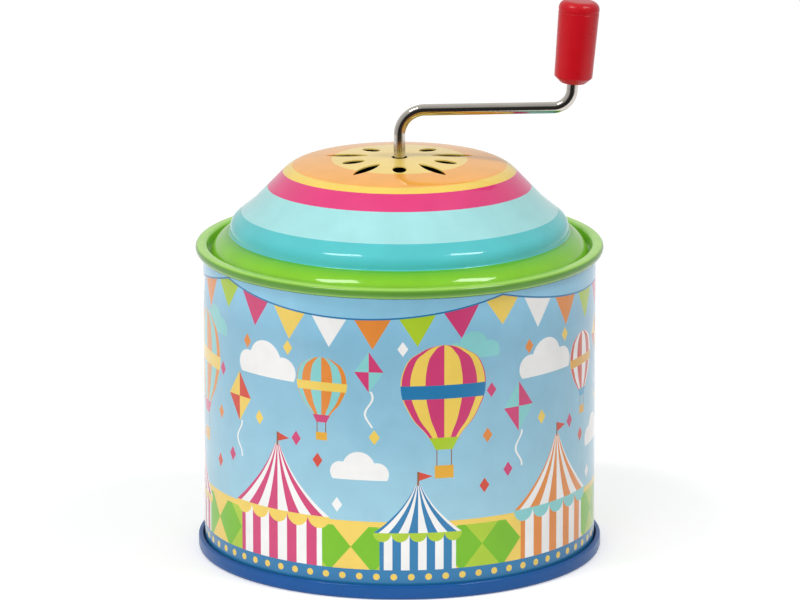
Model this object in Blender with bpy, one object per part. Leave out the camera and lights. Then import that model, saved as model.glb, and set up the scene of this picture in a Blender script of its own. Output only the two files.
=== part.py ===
"""A hand-cranked music box in a round tin, modelled as the separate pieces it is built from.

Run with: blender --background --python part.py
Units are metres with +Z up. The origin is on the tin's axis, on the surface that it stands on.
The front of the tin faces -Y, and the crank arm points along +X at rest.

What it takes the most skill to get right is the movement that hangs under the lid: a worm on the
crank shaft turns a helical wheel, and the pinned cylinder that the wheel drives plucks a comb.
"""
import math

import bmesh
import bpy
from mathutils import Matrix, Vector

MM = 0.001

# Fits shared by all pieces
SEAT_GAP = 0.30 * MM
RUNNING_GAP = 0.30 * MM
OVERRUN = 2.0 * MM
WELD_DISTANCE = 0.001 * MM
ROUND_SEGMENTS = 40
SMALL_SEGMENTS = 16
ARC_STEP = math.radians(30)
WIDE_ARC_STEP = math.radians(45)
SMOOTH_ANGLE = math.radians(32)

# Tin body: a rolled sheet with its lock seam at the back
BODY_RADIUS = 36.5 * MM
BODY_WALL = 0.25 * MM
SIDE_SEAM_WIDTH = 5.0 * MM
SIDE_SEAM_PROUD = 0.22 * MM

# Lid rim: the roll that closes over the body's top edge
RIM_TOP = 58.4 * MM
RIM_HEIGHT = 1.9 * MM
RIM_OVERHANG = 1.4 * MM
RIM_ROOF = 0.9 * MM
RIM_INNER_ROUND = 0.6 * MM
RIM_OUTER_ROUND = 0.7 * MM
RIM_LOWER_ROUND = 0.4 * MM
LID_SHEET = 0.25 * MM
GROOVE_DEPTH = 2.15 * MM
GROOVE_FLOOR = 0.4 * MM
CHUCK_TAPER = 0.12 * MM

# Dome of the lid, with heights above the rim's top
DOME_RADIUS = 31.5 * MM
DOME_FOOT_RISE = 1.8 * MM
DOME_FOOT_ROUND = 0.5 * MM
DOME_EAVE_RISE = 3.95 * MM
DOME_EAVE_ROUND = 2.2 * MM
SHELF_BULGE_RADIUS = 5.5 * MM
SHELF_STEPS = 3
WAIST_RADIUS = 27.4 * MM
WAIST_RISE = 7.3 * MM
WAIST_ROUND = 8.0 * MM
KNEE_RADIUS = 20.5 * MM
KNEE_ROUND = 6.0 * MM
CROWN_RISE = 16.0 * MM
CROWN_SPHERE_RADIUS = 139.0 * MM
CROWN_POINT_SHARES = (0.3, 0.62)

# Sound slots: long and short by turns, a short one at the front
SLOT_COUNT = 10
LONG_SLOT_START = 6.0 * MM
LONG_SLOT_END = 14.5 * MM
LONG_SLOT_WIDTH = 2.3 * MM
SHORT_SLOT_START = 6.8 * MM
SHORT_SLOT_END = 11.1 * MM
SHORT_SLOT_WIDTH = 2.6 * MM
SLOT_EDGE_STEPS = 4

# Base: a pressed disc whose rolled ring closes over the body's bottom edge
BASE_RING_HEIGHT = 2.7 * MM
BASE_RING_OVERHANG = 1.15 * MM
BASE_RING_TOP_ROUND = 0.25 * MM
BASE_RING_FOOT_ROUND = 0.55 * MM
BASE_RING_FLOOR = 0.6 * MM
BASE_SHEET = 0.25 * MM
BASE_RECESS = 3.2 * MM
BASE_BEAD_RADIUS = 29.0 * MM
BASE_BEAD_WIDTH = 3.0 * MM
BASE_BEAD_RISE = 0.6 * MM

# Crank: one length of plated wire
WIRE_RADIUS = 1.075 * MM
ROD_HOLE_CLEARANCE = 0.4 * MM
ARM_HEIGHT = 83.25 * MM
ARM_RISE_ANGLE = math.radians(1.0)
CRANK_THROW = 31.62 * MM
SHAFT_BEND_RADIUS = 4.75 * MM
GRIP_BEND_RADIUS = 3.5 * MM
GRIP_LEAN = math.radians(4.5)
WIRE_END_CLEARANCE = 0.4 * MM
WIRE_BEVEL_RESOLUTION = 4
WIRE_ARC_STEP = math.radians(12)

# Crank knob, with heights from its lower face
KNOB_FOOT_DISTANCE = 4.71 * MM
KNOB_LENGTH = 15.45 * MM
KNOB_TOP_RADIUS = 3.82 * MM
KNOB_LOW_RADIUS = 3.54 * MM
KNOB_NECK_RADIUS = 2.3 * MM
KNOB_NECK_HEIGHT = 1.15 * MM
KNOB_CROWN_ROUND = 1.5 * MM
KNOB_LINE_DEPTH = 0.14 * MM
KNOB_LINE_WIDTH = 0.3 * MM
KNOB_SOCKET_START = 9.7 * MM
KNOB_SOCKET_END = 12.5 * MM
KNOB_SOCKET_RADIUS = 2.05 * MM
CATCH_RADIUS = 1.68 * MM
CATCH_WIDTH = 0.8 * MM
CATCH_SLOPE = 0.15 * MM
KNOB_SEGMENTS = 24

# Gear pair: a single-start worm and a helical wheel
GEAR_MODULE = 0.8 * MM
WHEEL_TEETH = 18
WHEEL_WIDTH = 3.2 * MM
WORM_PITCH_RADIUS = 3.0 * MM
ADDENDUM_SHARE = 0.75
WORM_ADDENDUM_SHARE = 0.875
DEDENDUM_SHARE = 1.0625
PRESSURE_ANGLE = math.radians(20)
BACKLASH = 0.35 * MM
WORM_TURNS = 3
WORM_STEPS_PER_TURN = 16
THREAD_SINK = 0.2 * MM

# Worm shaft, with heights from the cylinder's axis
MOVEMENT_DROP = 30.4 * MM
WORM_HALF_LENGTH = 5.2 * MM
SOCKET_RADIUS = 2.4 * MM
SOCKET_TOP = 13.0 * MM
SOCKET_FLOOR = 6.0 * MM
JOURNAL_RADIUS = 1.6 * MM
JOURNAL_TAIL = 2.3 * MM
CLIP_GROOVE_RADIUS = 1.0 * MM
WASHER_THICKNESS = 0.5 * MM
WASHER_RADIUS = 3.6 * MM
CLIP_THICKNESS = 0.6 * MM
CLIP_RADIUS = 3.2 * MM
CLIP_MOUTH_SHARE = 0.8

# Bedplate: a die-cast plate that stands upright in front of the worm shaft
PLATE_LEFT = 10.0 * MM
PLATE_SIDE_CLEARANCE = 4.75 * MM
PLATE_RISE = 11.0 * MM
PLATE_DROP = 36.0 * MM
PLATE_THICKNESS = 1.5 * MM
PLATE_CORNER_ROUND = 3.0 * MM
PLATE_JOIN = 0.3 * MM
LUG_THICKNESS = 2.0 * MM
LUG_HALF_WIDTH = 4.5 * MM
CHEEK_THICKNESS = 1.5 * MM
CHEEK_HALF_HEIGHT = 3.4 * MM

# Pinned cylinder and its arbor, along X from the worm shaft
CYLINDER_RADIUS = 6.5 * MM
CYLINDER_WALL = 0.8 * MM
CYLINDER_SEGMENTS = 36
ARBOR_RADIUS = 1.0 * MM
ARBOR_OVERHANG = 0.8 * MM
HUB_RADIUS = 2.4 * MM
HUB_LENGTH = 1.9 * MM
PLUG_DEPTH = 3.0 * MM
PLUG_SEGMENTS = 20
PIN_LENGTH = 0.6 * MM
PIN_WIDTH_SHARE = 0.5
PIN_SINK = 0.3 * MM
TUNE_BEATS = 44
TUNE_STEP = 5
TUNE_SWING = 7

# Comb: eighteen tuned teeth cut in a steel plate
COMB_TEETH = 18
TOOTH_SLOT_SHARE = 0.28
TOOTH_TIP_SHARE = 0.46
TOOTH_TIP_TAPER = 1.0 * MM
TOOTH_THICKNESS = 0.6 * MM
TOOTH_TIP_GAP = 0.3 * MM
LONGEST_TOOTH = 17.4 * MM
SHORTEST_TOOTH = 9.8 * MM
COMB_LENGTH = 26.0 * MM
COMB_LEFT_MARGIN = 1.5 * MM
COMB_RIGHT_MARGIN = 0.9 * MM
HEEL_HEIGHT = 8.0 * MM
HEEL_THICKNESS = 1.6 * MM
WEIGHTED_TEETH = 6
WEIGHT_LENGTH = 3.6 * MM
WEIGHT_DEPTH = 1.2 * MM
WEIGHT_SETBACK = 2.2 * MM
WEIGHT_SIDE_SHARE = 0.12
RAIL_THICKNESS = 3.0 * MM
POST_WIDTH_SHARE = 0.33
COMB_SCREW_SHARE = 0.22

# Right-hand bearing bracket of the cylinder
BEARING_THICKNESS = 1.4 * MM
BEARING_FOOT_LENGTH = 5.6 * MM
BEARING_FOOT_HALF_HEIGHT = 6.6 * MM
BEARING_SCREW_OFFSET = 4.0 * MM

# Hanger: the bent strip that carries the movement under the crown
HANGER_THICKNESS = 1.0 * MM
HANGER_STRIP_HALF_WIDTH = 3.0 * MM
HANGER_DISC_RADIUS = 5.6 * MM
HANGER_BEND_RADIUS = 1.4 * MM
HANGER_FOOT_HALF_WIDTH = 9.2 * MM
HANGER_FOOT_LOW = 2.0 * MM
HANGER_FOOT_HIGH = 9.8 * MM
HANGER_HOLE_CLEARANCE = 0.6 * MM
HANGER_SCREW_OFFSET = 6.6 * MM
HANGER_SCREW_RISE = 5.6 * MM

# Screws: slotted cheese heads
LARGE_SCREW = {"shank": 1.2 * MM, "head": 2.3 * MM, "head_height": 1.4 * MM}
SMALL_SCREW = {"shank": 1.0 * MM, "head": 1.9 * MM, "head_height": 1.1 * MM}
COMB_SCREW_LENGTH = 6.4 * MM
SLOT_CUT_WIDTH = 0.5 * MM
SLOT_CUT_DEPTH = 0.6 * MM

# Colours are linear, with roughness and metallic after them
SKY_BLUE_PRINT = ((0.21, 0.45, 0.60), 0.32, 0.0)
ORANGE_PRINT = ((0.90, 0.46, 0.14), 0.30, 0.0)
BLUE_LACQUER = ((0.02, 0.10, 0.28), 0.30, 0.0)
NICKEL = ((0.62, 0.60, 0.57), 0.16, 1.0)
RED_PLASTIC = ((0.46, 0.012, 0.022), 0.30, 0.0)
BRASS = ((0.70, 0.48, 0.20), 0.30, 1.0)
STEEL = ((0.52, 0.52, 0.54), 0.28, 1.0)
ZINC_CASTING = ((0.42, 0.42, 0.43), 0.50, 1.0)
BLACK_STEEL = ((0.03, 0.03, 0.03), 0.45, 1.0)
WHITE_ACETAL = ((0.78, 0.77, 0.72), 0.42, 0.0)

# Places worked out from the sizes above
CROWN_TOP = RIM_TOP + CROWN_RISE
CYLINDER_HEIGHT = CROWN_TOP - MOVEMENT_DROP
WHEEL_PITCH_RADIUS = GEAR_MODULE * WHEEL_TEETH / 2
CYLINDER_DEPTH = WORM_PITCH_RADIUS + WHEEL_PITCH_RADIUS
WORM_LEAD = math.pi * GEAR_MODULE
WORM_CREST_RADIUS = WORM_PITCH_RADIUS + WORM_ADDENDUM_SHARE * GEAR_MODULE
WORM_ROOT_RADIUS = WORM_PITCH_RADIUS - DEDENDUM_SHARE * GEAR_MODULE
PLATE_FACE = -(WORM_CREST_RADIUS + RUNNING_GAP)
PLATE_BACK = PLATE_FACE - PLATE_THICKNESS
LUG_NEAR = WORM_HALF_LENGTH + WASHER_THICKNESS + 2 * RUNNING_GAP
LUG_FAR = LUG_NEAR + LUG_THICKNESS
PLATE_RIGHT = BODY_RADIUS - BODY_WALL - PLATE_SIDE_CLEARANCE
BEARING_OUTER = PLATE_RIGHT - BEARING_FOOT_LENGTH
BEARING_INNER = BEARING_OUTER - BEARING_THICKNESS
CYLINDER_START = WHEEL_WIDTH / 2 + SEAT_GAP
CYLINDER_END = BEARING_INNER - RUNNING_GAP - HUB_LENGTH
CHEEK_INNER = WHEEL_WIDTH / 2 + HUB_LENGTH + RUNNING_GAP
CHEEK_OUTER = CHEEK_INNER + CHEEK_THICKNESS
COMB_TIP_DROP = CYLINDER_RADIUS + PIN_LENGTH + TOOTH_TIP_GAP
COMB_TIP_HEIGHT = CYLINDER_HEIGHT - COMB_TIP_DROP
COMB_BOTTOM = COMB_TIP_HEIGHT - COMB_LENGTH
COMB_START = CYLINDER_START + COMB_LEFT_MARGIN
COMB_WIDTH = CYLINDER_END - COMB_RIGHT_MARGIN - COMB_START
TOOTH_PITCH = COMB_WIDTH / COMB_TEETH
COMB_FRONT = CYLINDER_DEPTH + TOOTH_THICKNESS / 2
COMB_HEEL_BACK = COMB_FRONT - HEEL_THICKNESS
RAIL_FACE = COMB_HEEL_BACK - SEAT_GAP
HANGER_FRONT = PLATE_BACK - SEAT_GAP
HANGER_BACK = HANGER_FRONT - HANGER_THICKNESS


def clear_scene():
    """Remove whatever objects the file starts with."""
    for item in list(bpy.data.objects):
        bpy.data.objects.remove(item, do_unlink=True)


def paint(item, finish):
    """Give a piece its own Principled material."""
    colour, roughness, metallic = finish
    surface = bpy.data.materials.new(item.name + "_finish")
    surface.use_nodes = True
    shader = surface.node_tree.nodes["Principled BSDF"]
    shader.inputs["Base Color"].default_value = (*colour, 1.0)
    shader.inputs["Roughness"].default_value = roughness
    shader.inputs["Metallic"].default_value = metallic
    surface.diffuse_color = (*colour, 1.0)
    item.data.materials.clear()
    item.data.materials.append(surface)


def finished(item, finish, smooth=True):
    """Shade and paint a finished piece."""
    if smooth:
        item.data.shade_smooth()
        item.data.set_sharp_from_angle(angle=SMOOTH_ANGLE)
    paint(item, finish)
    return item


def object_from(name, mesh):
    """Turn a bmesh into a linked object with its faces pointing out."""
    bmesh.ops.remove_doubles(mesh, verts=mesh.verts, dist=WELD_DISTANCE)
    bmesh.ops.recalc_face_normals(mesh, faces=mesh.faces)
    data = bpy.data.meshes.new(name)
    mesh.to_mesh(data)
    mesh.free()
    item = bpy.data.objects.new(name, data)
    bpy.context.scene.collection.objects.link(item)
    return item


def turned(name, outline, segments=SMALL_SEGMENTS):
    """Spin a closed outline of (radius, height) points about Z."""
    mesh = bmesh.new()
    points = [mesh.verts.new((radius, 0, height)) for radius, height in outline]
    edges = []
    for start, end in zip(points, points[1:] + points[:1]):
        if start.co.x > 0 or end.co.x > 0:
            edges.append(mesh.edges.new((start, end)))
    bmesh.ops.spin(
        mesh, geom=points + edges, cent=(0, 0, 0), axis=(0, 0, 1),
        angle=math.tau, steps=segments, use_merge=True,
    )
    return object_from(name, mesh)


def prism(name, outline, low, high, along="Z"):
    """Extrude a flat outline between two levels along X, Y or Z."""
    mesh = bmesh.new()
    orders = {
        "X": lambda u, v, w: (w, u, v),
        "Y": lambda u, v, w: (u, w, v),
        "Z": lambda u, v, w: (u, v, w),
    }
    order = orders[along]
    rings = []
    for level in (low, high):
        rings.append([mesh.verts.new(order(u, v, level)) for u, v in outline])
    close_rings(mesh, rings)
    return object_from(name, mesh)


def close_rings(mesh, rings):
    """Join rings of points one after another by quads and close both ends."""
    for near, far in zip(rings, rings[1:]):
        for index in range(len(near)):
            following = (index + 1) % len(near)
            mesh.faces.new((near[index], near[following], far[following], far[index]))
    mesh.faces.new(rings[0])
    mesh.faces.new(rings[-1])


def pillar(name, radius, low, high, along="Z", centre=(0, 0), segments=SMALL_SEGMENTS):
    """Make a plain round bar, from one level to another along an axis."""
    outline = circle(centre, radius, segments)
    return prism(name, outline, low, high, along)


def combine(target, tool, operation):
    """Apply a Boolean of another object to the target and remove that object."""
    bpy.context.view_layer.update()
    change = target.modifiers.new(operation.title(), "BOOLEAN")
    change.object = tool
    change.operation = operation
    change.solver = "EXACT"
    bpy.context.view_layer.objects.active = target
    bpy.ops.object.modifier_apply(modifier=change.name)
    bpy.data.objects.remove(tool, do_unlink=True)


def add(target, *tools):
    """Join other solids to the target."""
    for tool in tools:
        combine(target, tool, "UNION")


def cut(target, *tools):
    """Cut other solids out of the target."""
    for tool in tools:
        combine(target, tool, "DIFFERENCE")


def circle(centre, radius, segments):
    """Points of a full circle."""
    points = []
    for index in range(segments):
        angle = math.tau * index / segments
        points.append((centre[0] + radius * math.cos(angle), centre[1] + radius * math.sin(angle)))
    return points


def arc(centre, radius, start, end, steps):
    """Points of an arc, with both ends."""
    points = []
    for index in range(steps + 1):
        angle = start + (end - start) * index / steps
        points.append((centre[0] + radius * math.cos(angle), centre[1] + radius * math.sin(angle)))
    return points


def box_outline(left, right, low, high):
    """Corners of a rectangle."""
    return [(left, low), (right, low), (right, high), (left, high)]


def rounded(corners, step=ARC_STEP, closed=False):
    """Replace each corner (u, v, radius) of a line by an arc of that radius."""
    count = len(corners)
    points = []
    for index, (u, v, radius) in enumerate(corners):
        corner = Vector((u, v))
        if radius == 0 or (not closed and index in (0, count - 1)):
            points.append((u, v))
            continue
        before = Vector(corners[index - 1][:2]) - corner
        after = Vector(corners[(index + 1) % count][:2]) - corner
        before.normalize()
        after.normalize()
        turn = math.pi - before.angle(after)
        reach = radius * math.tan(turn / 2)
        centre = corner + (before + after).normalized() * radius / math.cos(turn / 2)
        first = corner + before * reach - centre
        last = corner + after * reach - centre
        start = math.atan2(first.y, first.x)
        sweep = math.remainder(math.atan2(last.y, last.x) - start, math.tau)
        steps = max(1, math.ceil(abs(sweep) / step))
        points.extend(arc(centre, radius, start, start + sweep, steps))
    return points


def bulge(start, end, radius, steps):
    """Points of an arc between two points that bows to the left of its chord, without its ends."""
    chord = Vector(end) - Vector(start)
    half = chord.length / 2
    left = Vector((-chord.y, chord.x)).normalized()
    centre = (Vector(start) + Vector(end)) / 2 - left * math.sqrt(radius ** 2 - half ** 2)
    first = Vector(start) - centre
    last = Vector(end) - centre
    from_angle = math.atan2(first.y, first.x)
    to_angle = math.atan2(last.y, last.x)
    return arc(centre, radius, from_angle, to_angle, steps)[1:-1]


def offset(points, distance):
    """A line parallel to the given one, to its right, as far away as a sheet is thick."""
    shifted = []
    for index, point in enumerate(points):
        here = Vector(point)
        ahead = Vector(points[min(index + 1, len(points) - 1)]) - here
        behind = here - Vector(points[max(index - 1, 0)])
        if index == 0:
            behind = ahead
        if index == len(points) - 1:
            ahead = behind
        first = Vector((behind.y, -behind.x)).normalized()
        second = Vector((ahead.y, -ahead.x)).normalized()
        move = (first + second) * distance / (1 + first.dot(second))
        shifted.append(tuple(here + move))
    return shifted


def crown_height(radius):
    """Height of the crown's outer face at a distance from the axis."""
    return CROWN_TOP - radius ** 2 / (2 * CROWN_SPHERE_RADIUS)


def screw(name, size, length, seat, outward):
    """A slotted cheese-head screw whose head's lower face is at seat."""
    shank = size["shank"]
    head = size["head"]
    height = size["head_height"]
    outline = [(0, -length), (shank, -length), (shank, 0), (head, 0), (head, height), (0, height)]
    item = turned(name, outline)
    reach = head + OVERRUN
    slot = prism(
        name + "_slot", box_outline(-reach, reach, -SLOT_CUT_WIDTH / 2, SLOT_CUT_WIDTH / 2),
        height - SLOT_CUT_DEPTH, height + OVERRUN,
    )
    cut(item, slot)
    item.location = seat
    item.rotation_mode = "QUATERNION"
    item.rotation_quaternion = Vector((0, 0, 1)).rotation_difference(Vector(outward))
    return finished(item, STEEL)


def make_can_body():
    """The rolled body sheet, open at both ends, with its seam at the back."""
    low = BASE_RING_FLOOR + SEAT_GAP
    high = RIM_TOP - RIM_ROOF - SEAT_GAP
    body = turned(
        "can_body", box_outline(BODY_RADIUS - BODY_WALL, BODY_RADIUS, low, high), ROUND_SEGMENTS,
    )
    half_angle = SIDE_SEAM_WIDTH / BODY_RADIUS / 2
    back = math.pi / 2
    outer = arc((0, 0), BODY_RADIUS + SIDE_SEAM_PROUD, back - half_angle, back + half_angle, 4)
    inner = arc((0, 0), BODY_RADIUS - BODY_WALL / 2, back + half_angle, back - half_angle, 4)
    seam = prism(
        "side_seam", outer + inner,
        BASE_RING_HEIGHT + SEAT_GAP, RIM_TOP - RIM_HEIGHT - SEAT_GAP,
    )
    add(body, seam)
    return finished(body, SKY_BLUE_PRINT)


def dome_line():
    """The outer face of the pressed lid, from the rod's hole out to the rim's inner wall."""
    hole = WIRE_RADIUS + ROD_HOLE_CLEARANCE
    crown = [(hole, crown_height(hole))]
    for share in CROWN_POINT_SHARES:
        radius = share * KNEE_RADIUS
        crown.append((radius, crown_height(radius)))
    foot = RIM_TOP + DOME_FOOT_RISE
    shelf = (DOME_RADIUS + DOME_FOOT_ROUND, foot)
    chuck = BODY_RADIUS - BODY_WALL - SEAT_GAP - LID_SHEET - CHUCK_TAPER
    groove = (chuck - GROOVE_FLOOR, RIM_TOP - GROOVE_DEPTH)
    dome = rounded([
        (*crown[-1], 0),
        (KNEE_RADIUS, crown_height(KNEE_RADIUS), KNEE_ROUND),
        (WAIST_RADIUS, RIM_TOP + WAIST_RISE, WAIST_ROUND),
        (DOME_RADIUS, RIM_TOP + DOME_EAVE_RISE, DOME_EAVE_ROUND),
        (DOME_RADIUS, foot, DOME_FOOT_ROUND),
        (*shelf, 0),
    ])
    line = crown[:-1] + dome[:-1]
    line.extend(bulge(line[-1], groove, SHELF_BULGE_RADIUS, SHELF_STEPS))
    line.append(groove)
    line.append((chuck, groove[1]))
    line.append((chuck + CHUCK_TAPER, RIM_TOP - RIM_ROOF))
    return line


def slot_outline(start, end, width, pointed):
    """A sound slot along +X: a lens with points, or an ellipse."""
    middle = (start + end) / 2
    half = (end - start) / 2
    upper = []
    for index in range(2 * SLOT_EDGE_STEPS + 1):
        angle = math.pi * index / (2 * SLOT_EDGE_STEPS)
        rise = math.sin(angle) ** 2 if pointed else math.sin(angle)
        upper.append((middle + half * math.cos(angle), width / 2 * rise))
    lower = [(u, -v) for u, v in reversed(upper[1:-1])]
    return upper + lower


def make_lid():
    """The pressed lid: dome, shelf, groove and rolled rim, pierced by ten sound slots."""
    sheet = dome_line()
    underside = offset(sheet, LID_SHEET)
    outer = BODY_RADIUS + RIM_OVERHANG
    channel = BODY_RADIUS + SEAT_GAP
    skirt = RIM_TOP - RIM_HEIGHT
    rim = rounded([
        (*sheet[-1], 0),
        (sheet[-1][0], RIM_TOP, RIM_INNER_ROUND),
        (outer, RIM_TOP, RIM_OUTER_ROUND),
        (outer, skirt, RIM_LOWER_ROUND),
        (channel, skirt, 0),
        (channel, RIM_TOP - RIM_ROOF, 0),
    ])
    lid = turned("lid", sheet + rim[1:] + underside[::-1], ROUND_SEGMENTS)
    low = crown_height(LONG_SLOT_END) - OVERRUN
    high = CROWN_TOP + OVERRUN
    for index in range(SLOT_COUNT):
        if index % 2:
            outline = slot_outline(LONG_SLOT_START, LONG_SLOT_END, LONG_SLOT_WIDTH, True)
        else:
            outline = slot_outline(SHORT_SLOT_START, SHORT_SLOT_END, SHORT_SLOT_WIDTH, False)
        cutter = prism("slot_cutter", outline, low, high)
        turn = math.tau * index / SLOT_COUNT - math.pi / 2
        cutter.data.transform(Matrix.Rotation(turn, 4, "Z"))
        cut(lid, cutter)
    return finished(lid, ORANGE_PRINT)


def make_base():
    """The pressed base: a raised panel with a bead, and the rolled ring that it stands on."""
    wall = BODY_RADIUS - BODY_WALL - SEAT_GAP
    outer = BODY_RADIUS + BASE_RING_OVERHANG
    channel = BODY_RADIUS + SEAT_GAP
    panel = BASE_RECESS + BASE_SHEET
    inside = wall - BASE_SHEET
    bead_in = BASE_BEAD_RADIUS - BASE_BEAD_WIDTH / 2
    bead_out = BASE_BEAD_RADIUS + BASE_BEAD_WIDTH / 2
    bead_top = panel + BASE_BEAD_RISE
    top = [
        (0, panel), (bead_in, panel), (bead_in + BASE_BEAD_WIDTH / 4, bead_top),
        (bead_out - BASE_BEAD_WIDTH / 4, bead_top), (bead_out, panel), (wall, panel),
    ]
    ring = rounded([
        (wall, BASE_RING_FLOOR, 0),
        (channel, BASE_RING_FLOOR, 0),
        (channel, BASE_RING_HEIGHT, 0),
        (outer, BASE_RING_HEIGHT, BASE_RING_TOP_ROUND),
        (outer, 0, BASE_RING_FOOT_ROUND),
        (inside, 0, BASE_SHEET),
        (inside, BASE_RECESS, 0),
    ], WIDE_ARC_STEP)
    under = [(radius, height - BASE_SHEET) for radius, height in top[-2::-1]]
    return finished(turned("base", top + ring + under, ROUND_SEGMENTS), BLUE_LACQUER)


def grip_direction():
    """The direction of the crank's grip in the XZ plane, leaning out from the vertical."""
    return Vector((math.sin(GRIP_LEAN), math.cos(GRIP_LEAN)))


def grip_corner():
    """Where the arm's line meets the grip's line, in the XZ plane."""
    return Vector((CRANK_THROW, ARM_HEIGHT + CRANK_THROW * math.tan(ARM_RISE_ANGLE)))


def make_crank_rod():
    """The bent wire: shaft, arm and grip pin, with the swaged catch that holds the knob."""
    foot = CYLINDER_HEIGHT + SOCKET_FLOOR + SEAT_GAP
    corner = grip_corner()
    along = grip_direction()
    catch_start = KNOB_FOOT_DISTANCE + KNOB_SOCKET_START + WIRE_END_CLEARANCE
    catch_end = catch_start + CATCH_WIDTH
    tip = KNOB_FOOT_DISTANCE + KNOB_SOCKET_END - WIRE_END_CLEARANCE
    path = rounded([
        (0, foot, 0),
        (0, ARM_HEIGHT, SHAFT_BEND_RADIUS),
        (*corner, GRIP_BEND_RADIUS),
        (*(corner + along * catch_start), 0),
    ], WIRE_ARC_STEP)
    stations = [(u, v, WIRE_RADIUS) for u, v in path]
    catch = [
        (catch_start + CATCH_SLOPE, CATCH_RADIUS), (catch_end - CATCH_SLOPE, CATCH_RADIUS),
        (catch_end, WIRE_RADIUS), (tip, WIRE_RADIUS),
    ]
    for distance, radius in catch:
        place = corner + along * distance
        stations.append((*place, radius))
    curve = bpy.data.curves.new("crank_rod", "CURVE")
    curve.dimensions = "3D"
    curve.bevel_depth = WIRE_RADIUS
    curve.bevel_resolution = WIRE_BEVEL_RESOLUTION
    curve.use_fill_caps = True
    curve.render_resolution_u = 0
    spline = curve.splines.new("POLY")
    spline.points.add(len(stations) - 1)
    for point, (u, v, radius) in zip(spline.points, stations):
        point.co = (u, 0, v, 1)
        point.radius = radius / WIRE_RADIUS
    rod = bpy.data.objects.new("crank_rod", curve)
    bpy.context.scene.collection.objects.link(rod)
    paint(rod, NICKEL)
    return rod


def make_crank_knob():
    """The moulded knob, bored from below for the wire and its catch."""
    bore = WIRE_RADIUS + RUNNING_GAP
    line = KNOB_LENGTH - KNOB_CROWN_ROUND - KNOB_LINE_WIDTH
    groove = KNOB_TOP_RADIUS - KNOB_LINE_DEPTH
    outside = rounded([
        (bore, 0, 0),
        (KNOB_NECK_RADIUS, 0, 0),
        (KNOB_LOW_RADIUS, KNOB_NECK_HEIGHT, 0),
        (KNOB_TOP_RADIUS, line - KNOB_LINE_WIDTH, 0),
        (groove, line - KNOB_LINE_WIDTH / 2, 0),
        (KNOB_TOP_RADIUS, line, 0),
        (KNOB_TOP_RADIUS, KNOB_LENGTH, KNOB_CROWN_ROUND),
        (0, KNOB_LENGTH, 0),
    ])
    socket = [
        (0, KNOB_SOCKET_END), (KNOB_SOCKET_RADIUS, KNOB_SOCKET_END),
        (KNOB_SOCKET_RADIUS, KNOB_SOCKET_START), (bore, KNOB_SOCKET_START),
    ]
    knob = turned("crank_knob", outside + socket, KNOB_SEGMENTS)
    corner = grip_corner() + grip_direction() * KNOB_FOOT_DISTANCE
    knob.location = (corner.x, 0, corner.y)
    knob.rotation_euler = (0, GRIP_LEAN, 0)
    return finished(knob, RED_PLASTIC)


def worm_thread():
    """The worm's single thread, swept along its helix and sunk a little in the core."""
    half_pitch = math.pi * GEAR_MODULE / 4 - BACKLASH / 2
    flank = math.tan(PRESSURE_ANGLE)
    root = WORM_ROOT_RADIUS - THREAD_SINK
    root_half = half_pitch + (WORM_PITCH_RADIUS - root) * flank
    crest_half = half_pitch - (WORM_CREST_RADIUS - WORM_PITCH_RADIUS) * flank
    section = [
        (root, -root_half), (WORM_CREST_RADIUS, -crest_half),
        (WORM_CREST_RADIUS, crest_half), (root, root_half),
    ]
    mesh = bmesh.new()
    rings = []
    steps = WORM_TURNS * WORM_STEPS_PER_TURN
    for index in range(steps + 1):
        turns = index / WORM_STEPS_PER_TURN - WORM_TURNS / 2
        angle = math.tau * turns + math.pi / 2
        ring = []
        for radius, height in section:
            place = (radius * math.cos(angle), radius * math.sin(angle), height + WORM_LEAD * turns)
            ring.append(mesh.verts.new(place))
        rings.append(ring)
    close_rings(mesh, rings)
    return object_from("worm_thread", mesh)


def make_worm_shaft():
    """The worm with its lower journal, its clip groove and the socket that takes the crank."""
    bore = WIRE_RADIUS + SEAT_GAP
    groove_top = -LUG_FAR - RUNNING_GAP / 2
    groove_low = groove_top - CLIP_THICKNESS - 2 * RUNNING_GAP
    tail = -LUG_FAR - JOURNAL_TAIL
    outline = [
        (0, tail), (JOURNAL_RADIUS, tail), (JOURNAL_RADIUS, groove_low),
        (CLIP_GROOVE_RADIUS, groove_low), (CLIP_GROOVE_RADIUS, groove_top),
        (JOURNAL_RADIUS, groove_top), (JOURNAL_RADIUS, -WORM_HALF_LENGTH),
        (WORM_ROOT_RADIUS, -WORM_HALF_LENGTH), (WORM_ROOT_RADIUS, WORM_HALF_LENGTH),
        (SOCKET_RADIUS, WORM_HALF_LENGTH), (SOCKET_RADIUS, SOCKET_TOP),
        (bore, SOCKET_TOP), (bore, SOCKET_FLOOR), (0, SOCKET_FLOOR),
    ]
    shaft = turned("worm_shaft", outline, WORM_STEPS_PER_TURN)
    add(shaft, worm_thread())
    shaft.location = (0, 0, CYLINDER_HEIGHT)
    return finished(shaft, BRASS)


def make_thrust_washer():
    """The washer between the worm and the lower lug."""
    low = -LUG_NEAR + RUNNING_GAP
    bore = JOURNAL_RADIUS + RUNNING_GAP
    washer = turned("thrust_washer", box_outline(bore, WASHER_RADIUS, low, low + WASHER_THICKNESS))
    washer.location = (0, 0, CYLINDER_HEIGHT)
    return finished(washer, STEEL)


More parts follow.
